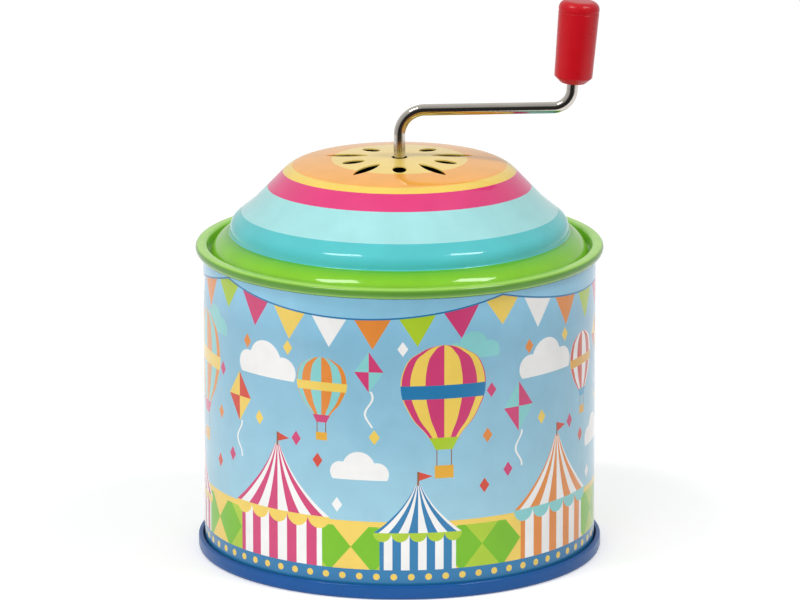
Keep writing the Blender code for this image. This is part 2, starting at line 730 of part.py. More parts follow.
def make_shaft_clip():
    """The open spring clip in the groove below the lower lug."""
    inner = CLIP_GROOVE_RADIUS + RUNNING_GAP
    mouth = CLIP_MOUTH_SHARE * inner
    inner_angle = math.asin(mouth / inner)
    outer_angle = math.asin(mouth / CLIP_RADIUS)
    outer = arc((0, 0), CLIP_RADIUS, outer_angle, math.tau - outer_angle, 18)
    hollow = arc((0, 0), inner, math.tau - inner_angle, inner_angle, 12)
    high = -LUG_FAR - RUNNING_GAP
    clip = prism("shaft_clip", outer + hollow, high - CLIP_THICKNESS, high)
    clip.location = (0, 0, CYLINDER_HEIGHT)
    return finished(clip, BLACK_STEEL)


def tooth_half_angle(radius):
    """Half the angle that an involute tooth of the wheel fills at a radius."""
    pitch = WHEEL_PITCH_RADIUS
    base = pitch * math.cos(PRESSURE_ANGLE)
    at_pitch = (math.pi * GEAR_MODULE / 2 - BACKLASH) / (2 * pitch)
    slope = math.acos(min(1, base / max(radius, base)))
    involute = math.tan(PRESSURE_ANGLE) - PRESSURE_ANGLE - math.tan(slope) + slope
    return at_pitch + involute


def wheel_outline():
    """One cross-section of the wheel, with a tooth space towards the worm."""
    tip = WHEEL_PITCH_RADIUS + ADDENDUM_SHARE * GEAR_MODULE
    root = WHEEL_PITCH_RADIUS - DEDENDUM_SHARE * GEAR_MODULE
    radii = (root, WHEEL_PITCH_RADIUS, tip)
    flank = [(radius, tooth_half_angle(radius)) for radius in radii]
    points = []
    for tooth in range(WHEEL_TEETH):
        middle = math.tau * (tooth + 0.5) / WHEEL_TEETH + math.pi
        for radius, half in flank:
            points.append((radius, middle - half))
        for radius, half in reversed(flank):
            points.append((radius, middle + half))
    return points


def make_worm_wheel():
    """The helical wheel, with a hub on its left and a plug that fits in the cylinder."""
    slant = WORM_LEAD / (math.tau * WORM_PITCH_RADIUS) / WHEEL_PITCH_RADIUS
    outline = wheel_outline()
    mesh = bmesh.new()
    rings = []
    for depth in (-WHEEL_WIDTH / 2, 0, WHEEL_WIDTH / 2):
        ring = []
        for radius, angle in outline:
            turned_angle = angle + slant * depth
            place = (depth, radius * math.cos(turned_angle), radius * math.sin(turned_angle))
            ring.append(mesh.verts.new(place))
        rings.append(ring)
    close_rings(mesh, rings)
    wheel = object_from("worm_wheel", mesh)
    plug_radius = CYLINDER_RADIUS - CYLINDER_WALL - SEAT_GAP
    hub = pillar("hub", HUB_RADIUS, -WHEEL_WIDTH / 2 - HUB_LENGTH, 0, "X")
    plug = pillar("plug", plug_radius, 0, CYLINDER_START + PLUG_DEPTH, "X", segments=CYLINDER_SEGMENTS)
    add(wheel, hub, plug)
    reach = WHEEL_WIDTH + HUB_LENGTH + PLUG_DEPTH
    cut(wheel, pillar("bore", ARBOR_RADIUS + SEAT_GAP, -reach, reach, "X"))
    wheel.location = (0, CYLINDER_DEPTH, CYLINDER_HEIGHT)
    return finished(wheel, WHITE_ACETAL)


def tune_pins():
    """Beat and tooth of each pin: a rising and falling run over a slow bass."""
    pins = []
    for beat in range(TUNE_BEATS):
        rise = beat * TUNE_STEP % COMB_TEETH
        fall = (TUNE_BEATS - beat) * TUNE_SWING % COMB_TEETH
        pins.append((beat, rise if beat % 8 < 4 else fall))
    return pins


def make_pinned_cylinder():
    """The cylinder, a tube with a pin for each note of the tune."""
    outline = box_outline(CYLINDER_RADIUS - CYLINDER_WALL, CYLINDER_RADIUS, CYLINDER_START, CYLINDER_END)
    cylinder = turned("pinned_cylinder", outline, CYLINDER_SEGMENTS)
    mesh = bmesh.new()
    height = PIN_LENGTH + PIN_SINK
    width = PIN_WIDTH_SHARE * TOOTH_PITCH
    for beat, tooth in tune_pins():
        centre = COMB_START + (tooth + 0.5) * TOOTH_PITCH
        lift = Matrix.Translation((CYLINDER_RADIUS - PIN_SINK + height / 2, 0, centre))
        size = Matrix.Diagonal((height, width, width, 1))
        turn = Matrix.Rotation(math.tau * (beat + 0.5) / TUNE_BEATS, 4, "Z")
        bmesh.ops.create_cube(mesh, size=1, matrix=turn @ lift @ size)
    add(cylinder, object_from("pins", mesh))
    cylinder.location = (0, CYLINDER_DEPTH, CYLINDER_HEIGHT)
    cylinder.rotation_euler = (0, math.pi / 2, 0)
    return finished(cylinder, BRASS)


def make_end_plug():
    """The plug that centres the cylinder's right end on the arbor."""
    bore = ARBOR_RADIUS + SEAT_GAP
    fit = CYLINDER_RADIUS - CYLINDER_WALL - SEAT_GAP
    flange = CYLINDER_END + SEAT_GAP
    outline = [
        (bore, CYLINDER_END - PLUG_DEPTH), (fit, CYLINDER_END - PLUG_DEPTH), (fit, flange),
        (CYLINDER_RADIUS, flange), (CYLINDER_RADIUS, flange + HUB_LENGTH / 2),
        (HUB_RADIUS, flange + HUB_LENGTH / 2), (HUB_RADIUS, CYLINDER_END + HUB_LENGTH),
        (bore, CYLINDER_END + HUB_LENGTH),
    ]
    plug = turned("cylinder_end_plug", outline, PLUG_SEGMENTS)
    plug.location = (0, CYLINDER_DEPTH, CYLINDER_HEIGHT)
    plug.rotation_euler = (0, math.pi / 2, 0)
    return finished(plug, WHITE_ACETAL)


def make_cylinder_arbor():
    """The steel pin that the wheel and the cylinder turn on, carried by both bearings."""
    start = -CHEEK_OUTER - ARBOR_OVERHANG
    end = BEARING_OUTER + ARBOR_OVERHANG
    outline = [(0, start), (ARBOR_RADIUS, start), (ARBOR_RADIUS, end), (0, end)]
    arbor = turned("cylinder_arbor", outline)
    arbor.location = (0, CYLINDER_DEPTH, CYLINDER_HEIGHT)
    arbor.rotation_euler = (0, math.pi / 2, 0)
    return finished(arbor, STEEL)


def comb_screw_places():
    """Distances along X of the two comb screws."""
    inset = COMB_SCREW_SHARE * COMB_WIDTH
    return (COMB_START + inset, COMB_START + COMB_WIDTH - inset)


def bearing_arm(name, start, end, root):
    """An upright arm with a round head about the arbor, from a level along Y to the arbor."""
    half = CHEEK_HALF_HEIGHT
    head = arc((CYLINDER_DEPTH, CYLINDER_HEIGHT), half, -math.pi / 2, math.pi / 2, 8)
    outline = [(root, CYLINDER_HEIGHT - half)] + head + [(root, CYLINDER_HEIGHT + half)]
    return prism(name, outline, start, end, "X")


def make_bedplate():
    """The die-cast bedplate with its two shaft lugs, left bearing arm and comb rail."""
    low = CYLINDER_HEIGHT - PLATE_DROP
    high = CYLINDER_HEIGHT + PLATE_RISE
    corners = [
        (u, v, PLATE_CORNER_ROUND) for u, v in box_outline(-PLATE_LEFT, PLATE_RIGHT, low, high)
    ]
    plate = prism("bedplate", rounded(corners, closed=True), PLATE_BACK, PLATE_FACE, "Y")
    root = PLATE_FACE - PLATE_JOIN
    lug = [(-LUG_HALF_WIDTH, root)] + [(LUG_HALF_WIDTH, root)]
    lug.extend(arc((0, 0), LUG_HALF_WIDTH, 0, math.pi, 10))
    for start in (CYLINDER_HEIGHT + LUG_NEAR, CYLINDER_HEIGHT - LUG_FAR):
        add(plate, prism("lug", lug, start, start + LUG_THICKNESS))
    add(plate, bearing_arm("left_arm", -CHEEK_OUTER, -CHEEK_INNER, root))
    left = COMB_START
    right = COMB_START + COMB_WIDTH
    heel_top = COMB_BOTTOM + HEEL_HEIGHT
    rail_back = RAIL_FACE - RAIL_THICKNESS
    add(plate, prism("rail", box_outline(left, right, COMB_BOTTOM, heel_top), rail_back, RAIL_FACE, "Y"))
    post_width = POST_WIDTH_SHARE * COMB_WIDTH
    for start in (left, right - post_width):
        post = box_outline(start, start + post_width, COMB_BOTTOM, heel_top)
        add(plate, prism("post", post, root, RAIL_FACE - RAIL_THICKNESS / 2, "Y"))
    cut(plate, pillar(
        "socket_bore", SOCKET_RADIUS + RUNNING_GAP, CYLINDER_HEIGHT, CYLINDER_HEIGHT + LUG_FAR + OVERRUN,
    ))
    cut(plate, pillar(
        "journal_bore", JOURNAL_RADIUS + RUNNING_GAP, CYLINDER_HEIGHT - LUG_FAR - OVERRUN, CYLINDER_HEIGHT,
    ))
    cut(plate, pillar(
        "arbor_bore", ARBOR_RADIUS + RUNNING_GAP, -CHEEK_OUTER - OVERRUN, -CHEEK_INNER + OVERRUN,
        "X", (CYLINDER_DEPTH, CYLINDER_HEIGHT),
    ))
    depth = COMB_FRONT + SEAT_GAP - COMB_SCREW_LENGTH - SEAT_GAP
    hole = LARGE_SCREW["shank"] + SEAT_GAP
    for place in comb_screw_places():
        centre = (place, COMB_BOTTOM + HEEL_HEIGHT / 2)
        cut(plate, pillar("comb_hole", hole, depth, RAIL_FACE + OVERRUN, "Y", centre))
    hole = SMALL_SCREW["shank"] + SEAT_GAP
    for centre in hanger_screw_places() + bearing_screw_places():
        cut(plate, pillar("plate_hole", hole, PLATE_BACK - OVERRUN, PLATE_FACE + OVERRUN, "Y", centre))
    return finished(plate, ZINC_CASTING)


def make_comb():
    """The steel comb: teeth from long bass to short treble, weights and a thick heel."""
    left = COMB_START
    right = COMB_START + COMB_WIDTH
    width = (1 - TOOTH_SLOT_SHARE) * TOOTH_PITCH
    tip = TOOTH_TIP_SHARE * TOOTH_PITCH
    outline = [(left, COMB_BOTTOM), (right, COMB_BOTTOM)]
    for tooth in reversed(range(COMB_TEETH)):
        share = tooth / (COMB_TEETH - 1)
        length = LONGEST_TOOTH + (SHORTEST_TOOTH - LONGEST_TOOTH) * share
        centre = left + (tooth + 0.5) * TOOTH_PITCH
        root = COMB_TIP_HEIGHT - length
        shoulder = COMB_TIP_HEIGHT - TOOTH_TIP_TAPER
        edge = centre + width / 2
        if tooth == COMB_TEETH - 1:
            outline.append((right, root))
        outline.extend([
            (edge, root), (edge, shoulder), (centre + tip / 2, COMB_TIP_HEIGHT),
            (centre - tip / 2, COMB_TIP_HEIGHT), (edge - width, shoulder), (edge - width, root),
        ])
    outline.append((left, outline[-1][1]))
    comb = prism("comb", outline, COMB_FRONT - TOOTH_THICKNESS, COMB_FRONT, "Y")
    heel = box_outline(left, right, COMB_BOTTOM, COMB_BOTTOM + HEEL_HEIGHT)
    add(comb, prism("heel", heel, COMB_HEEL_BACK, COMB_FRONT - TOOTH_THICKNESS / 2, "Y"))
    weight_back = COMB_FRONT - TOOTH_THICKNESS - WEIGHT_DEPTH
    for tooth in range(WEIGHTED_TEETH):
        centre = left + (tooth + 0.5) * TOOTH_PITCH
        half = width / 2 - WEIGHT_SIDE_SHARE * TOOTH_PITCH
        high = COMB_TIP_HEIGHT - WEIGHT_SETBACK
        low = high - WEIGHT_LENGTH * (1 - tooth / (2 * WEIGHTED_TEETH))
        weight = box_outline(centre - half, centre + half, low, high)
        add(comb, prism("weight", weight, weight_back, COMB_FRONT - TOOTH_THICKNESS / 2, "Y"))
    hole = LARGE_SCREW["shank"] + SEAT_GAP
    for place in comb_screw_places():
        centre = (place, COMB_BOTTOM + HEEL_HEIGHT / 2)
        cut(comb, pillar("comb_hole", hole, RAIL_FACE, COMB_FRONT + OVERRUN, "Y", centre))
    return finished(comb, STEEL, smooth=False)


def make_comb_screws():
    """Two screws through the comb's heel into the rail."""
    for number, place in enumerate(comb_screw_places(), start=1):
        seat = (place, COMB_FRONT + SEAT_GAP, COMB_BOTTOM + HEEL_HEIGHT / 2)
        screw("comb_screw_%d" % number, LARGE_SCREW, COMB_SCREW_LENGTH, seat, (0, 1, 0))


def bearing_screw_places():
    """Places in the XZ plane of the bearing bracket's two screws."""
    across = BEARING_OUTER + BEARING_FOOT_LENGTH / 2
    return [
        (across, CYLINDER_HEIGHT - BEARING_SCREW_OFFSET),
        (across, CYLINDER_HEIGHT + BEARING_SCREW_OFFSET),
    ]


def make_cylinder_bearing():
    """The bent bracket that carries the arbor's right end, screwed to the bedplate."""
    foot_low = PLATE_FACE + SEAT_GAP
    foot_high = foot_low + BEARING_THICKNESS
    bracket = bearing_arm("cylinder_bearing", BEARING_INNER, BEARING_OUTER, foot_low)
    foot = box_outline(
        BEARING_INNER, BEARING_OUTER + BEARING_FOOT_LENGTH,
        CYLINDER_HEIGHT - BEARING_FOOT_HALF_HEIGHT, CYLINDER_HEIGHT + BEARING_FOOT_HALF_HEIGHT,
    )
    add(bracket, prism("foot", foot, foot_low, foot_high, "Y"))
    cut(bracket, pillar(
        "arbor_bore", ARBOR_RADIUS + RUNNING_GAP, BEARING_INNER - OVERRUN, BEARING_OUTER + OVERRUN,
        "X", (CYLINDER_DEPTH, CYLINDER_HEIGHT),
    ))
    hole = SMALL_SCREW["shank"] + SEAT_GAP
    for centre in bearing_screw_places():
        cut(bracket, pillar("foot_hole", hole, foot_low - OVERRUN, foot_high + OVERRUN, "Y", centre))
    return finished(bracket, STEEL)


def make_bearing_screws():
    """Two screws that hold the bearing bracket's foot."""
    face = PLATE_FACE + SEAT_GAP + BEARING_THICKNESS + SEAT_GAP
    length = face - PLATE_BACK
    for number, (across, height) in enumerate(bearing_screw_places(), start=1):
        screw("bearing_screw_%d" % number, SMALL_SCREW, length, (across, face, height), (0, 1, 0))


def hanger_screw_places():
    """Places in the XZ plane of the hanger's two screws."""
    height = CYLINDER_HEIGHT + HANGER_SCREW_RISE
    return [(-HANGER_SCREW_OFFSET, height), (HANGER_SCREW_OFFSET, height)]


def make_hanger_bracket():
    """The bent strip: a disc under the crown round the shaft, a leg and a wide foot."""
    top = crown_height(HANGER_DISC_RADIUS) - LID_SHEET - SEAT_GAP
    low = CYLINDER_HEIGHT + HANGER_FOOT_LOW
    wide = HANGER_FOOT_HALF_WIDTH
    strip = HANGER_STRIP_HALF_WIDTH
    disc = HANGER_DISC_RADIUS
    inner = HANGER_BEND_RADIUS - HANGER_THICKNESS / 2
    side = rounded([
        (HANGER_BACK, low, 0),
        (HANGER_FRONT, low, 0),
        (HANGER_FRONT, top - HANGER_THICKNESS, inner),
        (disc, top - HANGER_THICKNESS, 0),
        (disc, top, 0),
        (HANGER_BACK, top, inner + HANGER_THICKNESS),
    ], closed=True)
    hanger = prism("hanger_bracket", side, -wide, wide, "X")
    neck = math.asin(strip / disc)
    leg_edge = HANGER_FRONT + SEAT_GAP
    blank = [
        (-wide - OVERRUN, HANGER_BACK - OVERRUN), (wide + OVERRUN, HANGER_BACK - OVERRUN),
        (wide + OVERRUN, leg_edge), (strip, leg_edge),
    ]
    blank.extend(arc((0, 0), disc, neck - math.pi / 2, 3 * math.pi / 2 - neck, 20))
    blank.extend([(-strip, leg_edge), (-wide - OVERRUN, leg_edge)])
    combine(hanger, prism("blank", blank, low - OVERRUN, top + OVERRUN), "INTERSECT")
    for left, right in ((strip, wide + OVERRUN), (-wide - OVERRUN, -strip)):
        waste = box_outline(left, right, CYLINDER_HEIGHT + HANGER_FOOT_HIGH, top + OVERRUN)
        cut(hanger, prism("waste", waste, HANGER_BACK - OVERRUN, leg_edge + OVERRUN / 4, "Y"))
    shaft_hole = WIRE_RADIUS + HANGER_HOLE_CLEARANCE
    cut(hanger, pillar("shaft_hole", shaft_hole, top - HANGER_THICKNESS - OVERRUN, top + OVERRUN))
    hole = SMALL_SCREW["shank"] + SEAT_GAP
    for centre in hanger_screw_places():
        cut(hanger, pillar("foot_hole", hole, HANGER_BACK - OVERRUN, HANGER_FRONT + OVERRUN, "Y", centre))
    return finished(hanger, BLACK_STEEL)


def make_hanger_screws():
    """Two screws from the front through the hanger's foot into the bedplate."""
    face = HANGER_BACK - SEAT_GAP
    length = PLATE_FACE - face
    for number, (across, height) in enumerate(hanger_screw_places(), start=1):
        screw("hanger_screw_%d" % number, SMALL_SCREW, length, (across, face, height), (0, -1, 0))


def main():
    """Build every piece of the music box."""
    clear_scene()
    make_can_body()
    make_lid()
    make_base()
    make_crank_rod()
    make_crank_knob()
    make_worm_shaft()
    make_thrust_washer()
    make_shaft_clip()
    make_worm_wheel()
    make_pinned_cylinder()
    make_end_plug()
    make_cylinder_arbor()
    make_bedplate()
    make_comb()
    make_comb_screws()
    make_cylinder_bearing()
    make_bearing_screws()
    make_hanger_bracket()
    make_hanger_screws()


main()
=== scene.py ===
# %% [markdown]
# # A hand-cranked music box in a printed tin
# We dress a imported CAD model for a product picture. The model arrives as a fixed frame: its pieces
# already stand where they belong, so everything we make is placed from its measurements.

# %% Load the frame
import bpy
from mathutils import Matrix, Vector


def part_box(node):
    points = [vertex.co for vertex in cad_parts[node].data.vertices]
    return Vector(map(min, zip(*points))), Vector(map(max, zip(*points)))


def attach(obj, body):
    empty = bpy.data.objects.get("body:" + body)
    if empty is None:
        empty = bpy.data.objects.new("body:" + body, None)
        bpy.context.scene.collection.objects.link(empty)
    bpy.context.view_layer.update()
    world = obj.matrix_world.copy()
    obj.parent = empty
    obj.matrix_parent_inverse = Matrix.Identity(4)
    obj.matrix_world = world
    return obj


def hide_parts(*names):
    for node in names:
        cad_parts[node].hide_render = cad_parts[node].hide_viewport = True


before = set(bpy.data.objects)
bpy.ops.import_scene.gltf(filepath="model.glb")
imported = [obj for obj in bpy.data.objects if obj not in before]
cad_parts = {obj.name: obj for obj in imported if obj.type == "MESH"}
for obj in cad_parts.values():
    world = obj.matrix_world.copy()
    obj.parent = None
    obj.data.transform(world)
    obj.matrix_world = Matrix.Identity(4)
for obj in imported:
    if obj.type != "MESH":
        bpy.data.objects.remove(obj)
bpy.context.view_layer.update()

# %% [markdown]
# ## Tools of the trade
# We think in millimetres and give colours as sRGB hex values, as a printer's swatch does. Blender wants
# metres and linear colour, so each gets one short conversion.

# %% Units and colours
import math
import bpy
from mathutils import Matrix, Vector

MM = 0.001


def linear(code):
    """Turn an sRGB hex colour into the linear colour that nodes take."""
    parts = [int(code[at:at + 2], 16) / 255 for at in (1, 3, 5)]
    parts = [part / 12.92 if part <= 0.04045 else ((part + 0.055) / 1.055) ** 2.4 for part in parts]
    return (*parts, 1.0)


print("mid grey:", [round(part, 3) for part in linear("#808080")])

# %% [markdown]
# Round sheet metal is drawn as half of its section and then spun. A section is mostly straight lines with
# rounded corners, so this helper takes corners as (radius, height, rounding) and returns the points of the
# rounded line. Seven degrees to a step keeps even the small roundings smooth in a highlight.

# %% Round the corners of a section
CORNER_STEP = math.radians(7)


def rounded(corners, closed=False):
    """Replace each corner (u, v, rounding) in mm by the points of an arc."""
    line = []
    last = len(corners) - 1
    for index, (u, v, rounding) in enumerate(corners):
        corner = Vector((u, v))
        if rounding == 0 or (not closed and index in (0, last)):
            line.append((u, v))
            continue
        before = (Vector(corners[index - 1][:2]) - corner).normalized()
        after = (Vector(corners[(index + 1) % len(corners)][:2]) - corner).normalized()
        turn = math.pi - before.angle(after)
        centre = corner + (before + after).normalized() * rounding / math.cos(turn / 2)
        first = corner + before * rounding * math.tan(turn / 2) - centre
        final = corner + after * rounding * math.tan(turn / 2) - centre
        sweep = math.remainder(math.atan2(final.y, final.x) - math.atan2(first.y, first.x), math.tau)
        steps = max(2, math.ceil(abs(sweep) / CORNER_STEP))
        for step in range(steps + 1):
            angle = math.atan2(first.y, first.x) + sweep * step / steps
            line.append((centre.x + rounding * math.cos(angle), centre.y + rounding * math.sin(angle)))
    return line


print("a right angle becomes", len(rounded([(0, 0, 0), (10, 0, 2), (10, 10, 0)])), "points")

# %% [markdown]
# A spun piece starts as a small plane whose corners are merged into one point. We extrude that point along
# the section and spin the finished line round the tin's axis, as a lathe would. Merging doubles closes the
# seam and the poles, and then the normals are turned outwards.

# %% Spin a section
WELD_DISTANCE = 0.002


def extrude(*step):
    """Extrude what is selected by a step of (x, y, z) in mm."""
    bpy.ops.mesh.extrude_region_move(TRANSFORM_OT_translate={"value": [length * MM for length in step]})


def spun(name, section, segments, closed=False):
    """Extrude a point along a section of (radius, height) in mm and spin it about Z."""
    bpy.ops.object.select_all(action="DESELECT")
    start = Vector((section[0][0] * MM, 0, section[0][1] * MM))
    bpy.ops.mesh.primitive_plane_add(size=MM, location=start)
    piece = bpy.context.object
    piece.name = name
    bpy.ops.object.transform_apply()
    bpy.ops.object.mode_set(mode="EDIT")
    bpy.ops.mesh.select_mode(type="VERT")
    bpy.ops.mesh.select_all(action="SELECT")
    bpy.ops.mesh.merge(type="CENTER")
    here = section[0]
    for there in section[1:] + (section[:1] if closed else []):
        extrude(there[0] - here[0], 0, there[1] - here[1])
        here = there
    bpy.ops.mesh.select_all(action="SELECT")
    bpy.ops.mesh.spin(steps=segments, angle=math.tau, center=(0, 0, 0), axis=(0, 0, 1))
    bpy.ops.mesh.select_all(action="SELECT")
    bpy.ops.mesh.remove_doubles(threshold=WELD_DISTANCE * MM)
    bpy.ops.mesh.normals_make_consistent(inside=False)
    bpy.ops.object.mode_set(mode="OBJECT")
    return piece


def report(piece, node):
    """Print a piece's size, how far its box is from the CAD node's, and its open edges."""
    low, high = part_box(node)
    points = [vertex.co for vertex in piece.data.vertices]
    spare = [round((limit(point[axis] for point in points) - corner[axis]) / MM, 2)
             for limit, corner in ((min, low), (max, high)) for axis in range(3)]
    uses = {}
    for face in piece.data.polygons:
        for key in face.edge_keys:
            uses[key] = uses.get(key, 0) + 1
    odd = sum(1 for count in uses.values() if count != 2)
    print(piece.name, len(piece.data.polygons), "faces, box less CAD box in mm", spare, "open edges", odd)


print("pieces are welded at", WELD_DISTANCE, "mm")

# %% [markdown]
# ## The lid
# The lid is one pressing of tinplate, 0.25 mm thick. From the middle outwards it has a hole for the crank, a
# shallow crown, a steep flank, an eave, a shelf that curves down into a groove, and the rim that is rolled
# over the body's edge. Its whole section could be drawn and spun, but a pressing is one sheet of even
# thickness, so we draw only its outer face and let Solidify give the sheet its thickness.

# %% Draw the lid's section
SHEET = 0.25
CRANK_HOLE = 1.475
CROWN_TOP = 74.4
CROWN_SPHERE = 139.0
CROWN_STEP = 0.72
CROWN_EDGE = 20.5
EAVE_RADIUS = 31.5
EAVE_HEIGHT = 62.35
SHELF_HEIGHT = 60.2


def crown_height(radius):
    """Height of the crown at a distance from the axis, in mm."""
    return CROWN_TOP - radius ** 2 / (2 * CROWN_SPHERE)


crown_radii = [CRANK_HOLE + CROWN_STEP * step for step in range(20)]
crown = [(radius, crown_height(radius)) for radius in crown_radii]
flank = rounded([
    (*crown[-1], 0),
    (CROWN_EDGE, crown_height(CROWN_EDGE), 6.0),
    (27.4, 65.7, 8.0),
    (EAVE_RADIUS, EAVE_HEIGHT, 3.0),
    (EAVE_RADIUS, SHELF_HEIGHT, 0.5),
    (EAVE_RADIUS + 0.5, SHELF_HEIGHT, 0),
])
print("crown and flank have", len(crown) + len(flank), "points; eave at", EAVE_RADIUS, "mm")

# %% [markdown]
# The shelf bulges like the edge of a cushion between the dome's foot and the groove. It is an arc of 5.5 mm
# radius through both ends. The rim that follows is rolled over the body's edge, so both of its corners are
# soft, and the lower one most.

# %% Add the shelf and the rolled rim
SHELF_ARC = 5.5
GROOVE_HEIGHT = 56.25
RIM_INSIDE = 35.70
RIM_RADIUS = 37.90
RIM_TOP = 58.4
RIM_FOOT = 56.5
BODY_TOP = 57.2


def bulge(start, end, radius, steps):
    """Points of an arc from start to end that bows upwards and outwards, without its ends."""
    start, end = Vector(start), Vector(end)
    chord = end - start
    side = Vector((-chord.y, chord.x)).normalized()
    centre = (start + end) / 2 - side * math.sqrt(radius ** 2 - (chord.length / 2) ** 2)
    points = []
    for step in range(1, steps):
        spoke = (start + chord * step / steps - centre).normalized() * radius
        points.append((centre.x + spoke.x, centre.y + spoke.y))
    return points


shelf = bulge(flank[-2], (35.18, GROOVE_HEIGHT), SHELF_ARC, 14)
rim = rounded([
    (*shelf[-1], 0),
    (35.18, GROOVE_HEIGHT, 0.18),
    (35.58, GROOVE_HEIGHT, 0.18),
    (RIM_INSIDE, 57.5, 0),
    (RIM_INSIDE, RIM_TOP, 0.6),
    (RIM_RADIUS, RIM_TOP, 0.75),
    (RIM_RADIUS, RIM_FOOT, 1.05),
    (36.80, RIM_FOOT, 0.2),
    (36.80, BODY_TOP, 0),
])
lid = spun("lid_pressing", crown + flank[1:-1] + shelf + rim[1:], 240)
print("the lid's section has", len(crown) + len(flank) + len(shelf) + len(rim), "points")

# %% [markdown]
# Solidify adds the sheet's thickness on the inner side, so the outer face stays where it was drawn. Its new
# faces take the second material slot, because the inside of a tin is bare tinplate and not printed.

# %% Give the lid its thickness
for name in ("tinplate_lithographed_lid", "tinplate_rolled_bare"):
    lid.data.materials.append(bpy.data.materials.new(name))


def select_only(piece):
    """Select one piece and make it the active one."""
    bpy.ops.object.select_all(action="DESELECT")
    piece.select_set(True)
    bpy.context.view_layer.objects.active = piece


def apply_modifier(piece, kind, **settings):
    """Add one modifier with its settings and apply it."""
    select_only(piece)
    bpy.ops.object.modifier_add(type=kind)
    modifier = piece.modifiers[-1]
    for name, value in settings.items():
        setattr(modifier, name, value)
    bpy.ops.object.modifier_apply(modifier=modifier.name)


apply_modifier(lid, "SOLIDIFY", thickness=SHEET * MM, offset=-1.0, material_offset=1, material_offset_rim=1)
report(lid, "lid")

# %% [markdown]
# ### Sound slots
# Ten slots let the music out. A short one faces the front and long ones stand between the short ones. A
# short slot is an oval punch. A long slot is pointed, which is the shape that two overlapping round punches
# share, so its cutter is the intersection of two cylinders. Each slot is given by the places of its inner
# and outer ends and by its width.

# %% Model the two punches
LONG_FROM, LONG_TO, LONG_WIDTH = 6.0, 14.5, 2.3
SHORT_FROM, SHORT_TO, SHORT_WIDTH = 6.8, 11.1, 2.6
PUNCH_FOOT = 70.0
PUNCH_HEIGHT = 8.0


def punch(name, radius, centre, stretch):
    """A short upright cylinder that goes through the crown at a place in mm, stretched along X."""
    bpy.ops.object.select_all(action="DESELECT")
    bpy.ops.mesh.primitive_circle_add(
        vertices=96, radius=radius * MM, fill_type="NGON", location=(0, 0, PUNCH_FOOT * MM),
    )
    piece = bpy.context.object
    piece.name = name
    bpy.ops.object.mode_set(mode="EDIT")
    bpy.ops.mesh.select_all(action="SELECT")
    extrude(0, 0, PUNCH_HEIGHT)
    bpy.ops.mesh.select_all(action="SELECT")
    bpy.ops.transform.resize(value=(stretch, 1, 1), center_override=(0, 0, 0))
    bpy.ops.transform.translate(value=(centre[0] * MM, centre[1] * MM, 0))
    bpy.ops.mesh.normals_make_consistent(inside=False)
    bpy.ops.object.mode_set(mode="OBJECT")
    bpy.ops.object.transform_apply()
    return piece


long_middle = (LONG_FROM + LONG_TO) / 2
half_length = (LONG_TO - LONG_FROM) / 2
half_width = LONG_WIDTH / 2
arc_radius = (half_length ** 2 + half_width ** 2) / (2 * half_width)
long_punch = punch("long_punch", arc_radius, (long_middle, arc_radius - half_width), 1)
other = punch("other_punch", arc_radius, (long_middle, half_width - arc_radius), 1)
apply_modifier(long_punch, "BOOLEAN", operation="INTERSECT", object=other, solver="EXACT")
bpy.data.objects.remove(other)
short_middle = (SHORT_FROM + SHORT_TO) / 2
short_punch = punch("short_punch", SHORT_WIDTH / 2, (short_middle, 0), (SHORT_TO - SHORT_FROM) / SHORT_WIDTH)
print("long slot arc radius", round(arc_radius, 2), "mm")

# %% [markdown]
# Each punch is copied round the axis with its own mesh, and the copies are joined into one cutter, so that a
# single Boolean opens all ten slots.

# %% Punch the lid
SLOT_COUNT = 10
punches = []
for index in range(SLOT_COUNT):
    select_only(short_punch if index % 2 == 0 else long_punch)
    bpy.ops.object.duplicate(linked=False)
    copy = bpy.context.object
    copy.rotation_euler.z = math.tau * index / SLOT_COUNT - math.pi / 2
    bpy.ops.object.transform_apply()
    punches.append(copy)
bpy.ops.object.select_all(action="DESELECT")
for copy in punches:
    copy.select_set(True)
bpy.context.view_layer.objects.active = punches[0]
bpy.ops.object.join()
cutter = bpy.context.object
apply_modifier(lid, "BOOLEAN", operation="DIFFERENCE", object=cutter, solver="EXACT")
for tool in (cutter, long_punch, short_punch):
    bpy.data.objects.remove(tool)
report(lid, "lid")

# %% [markdown]
# A finished piece is shaded smooth, with its folds of more than 30 degrees left sharp. Then it is hung on the
# body that it moves with, and stands in for its CAD node.

# %% Settle the lid
def settle(piece, node, body, angle=30):
    """Shade a finished piece, hang it on its body and let it stand for its CAD node."""
    select_only(piece)
    bpy.ops.object.shade_smooth_by_angle(angle=math.radians(angle))
    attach(piece, body)
    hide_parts(node)


settle(lid, "lid", "housing")

# %% [markdown]
# ## The body
# The body is a printed sheet rolled into a tube and locked along a seam at the back. We spin the thin wall
# first, from its closed section. The seam could be a strip laid on the wall, but then its edges would gape.
# So it is part of the wall, marked out with bisect cuts, lifted by 0.22 mm and bevelled, because folded
# metal has no sharp edge.

# %% Spin the body's wall
BODY_RADIUS = 36.5
BODY_FOOT = 0.9
wall = [(BODY_RADIUS, height) for height in (BODY_FOOT, 20, 40, BODY_TOP)]
wall = [(BODY_RADIUS - SHEET, BODY_FOOT), *wall, (BODY_RADIUS - SHEET, BODY_TOP)]
body = spun("body_sheet", wall, 256, closed=True)
body.data.materials.append(bpy.data.materials.new("tinplate_lithographed_body"))
body.data.materials.append(bpy.data.materials["tinplate_rolled_bare"])
for face in body.data.polygons:
    inward = face.normal.x * face.center.x + face.normal.y * face.center.y < 0
    face.material_index = 1 if inward else 0
report(body, "can_body")

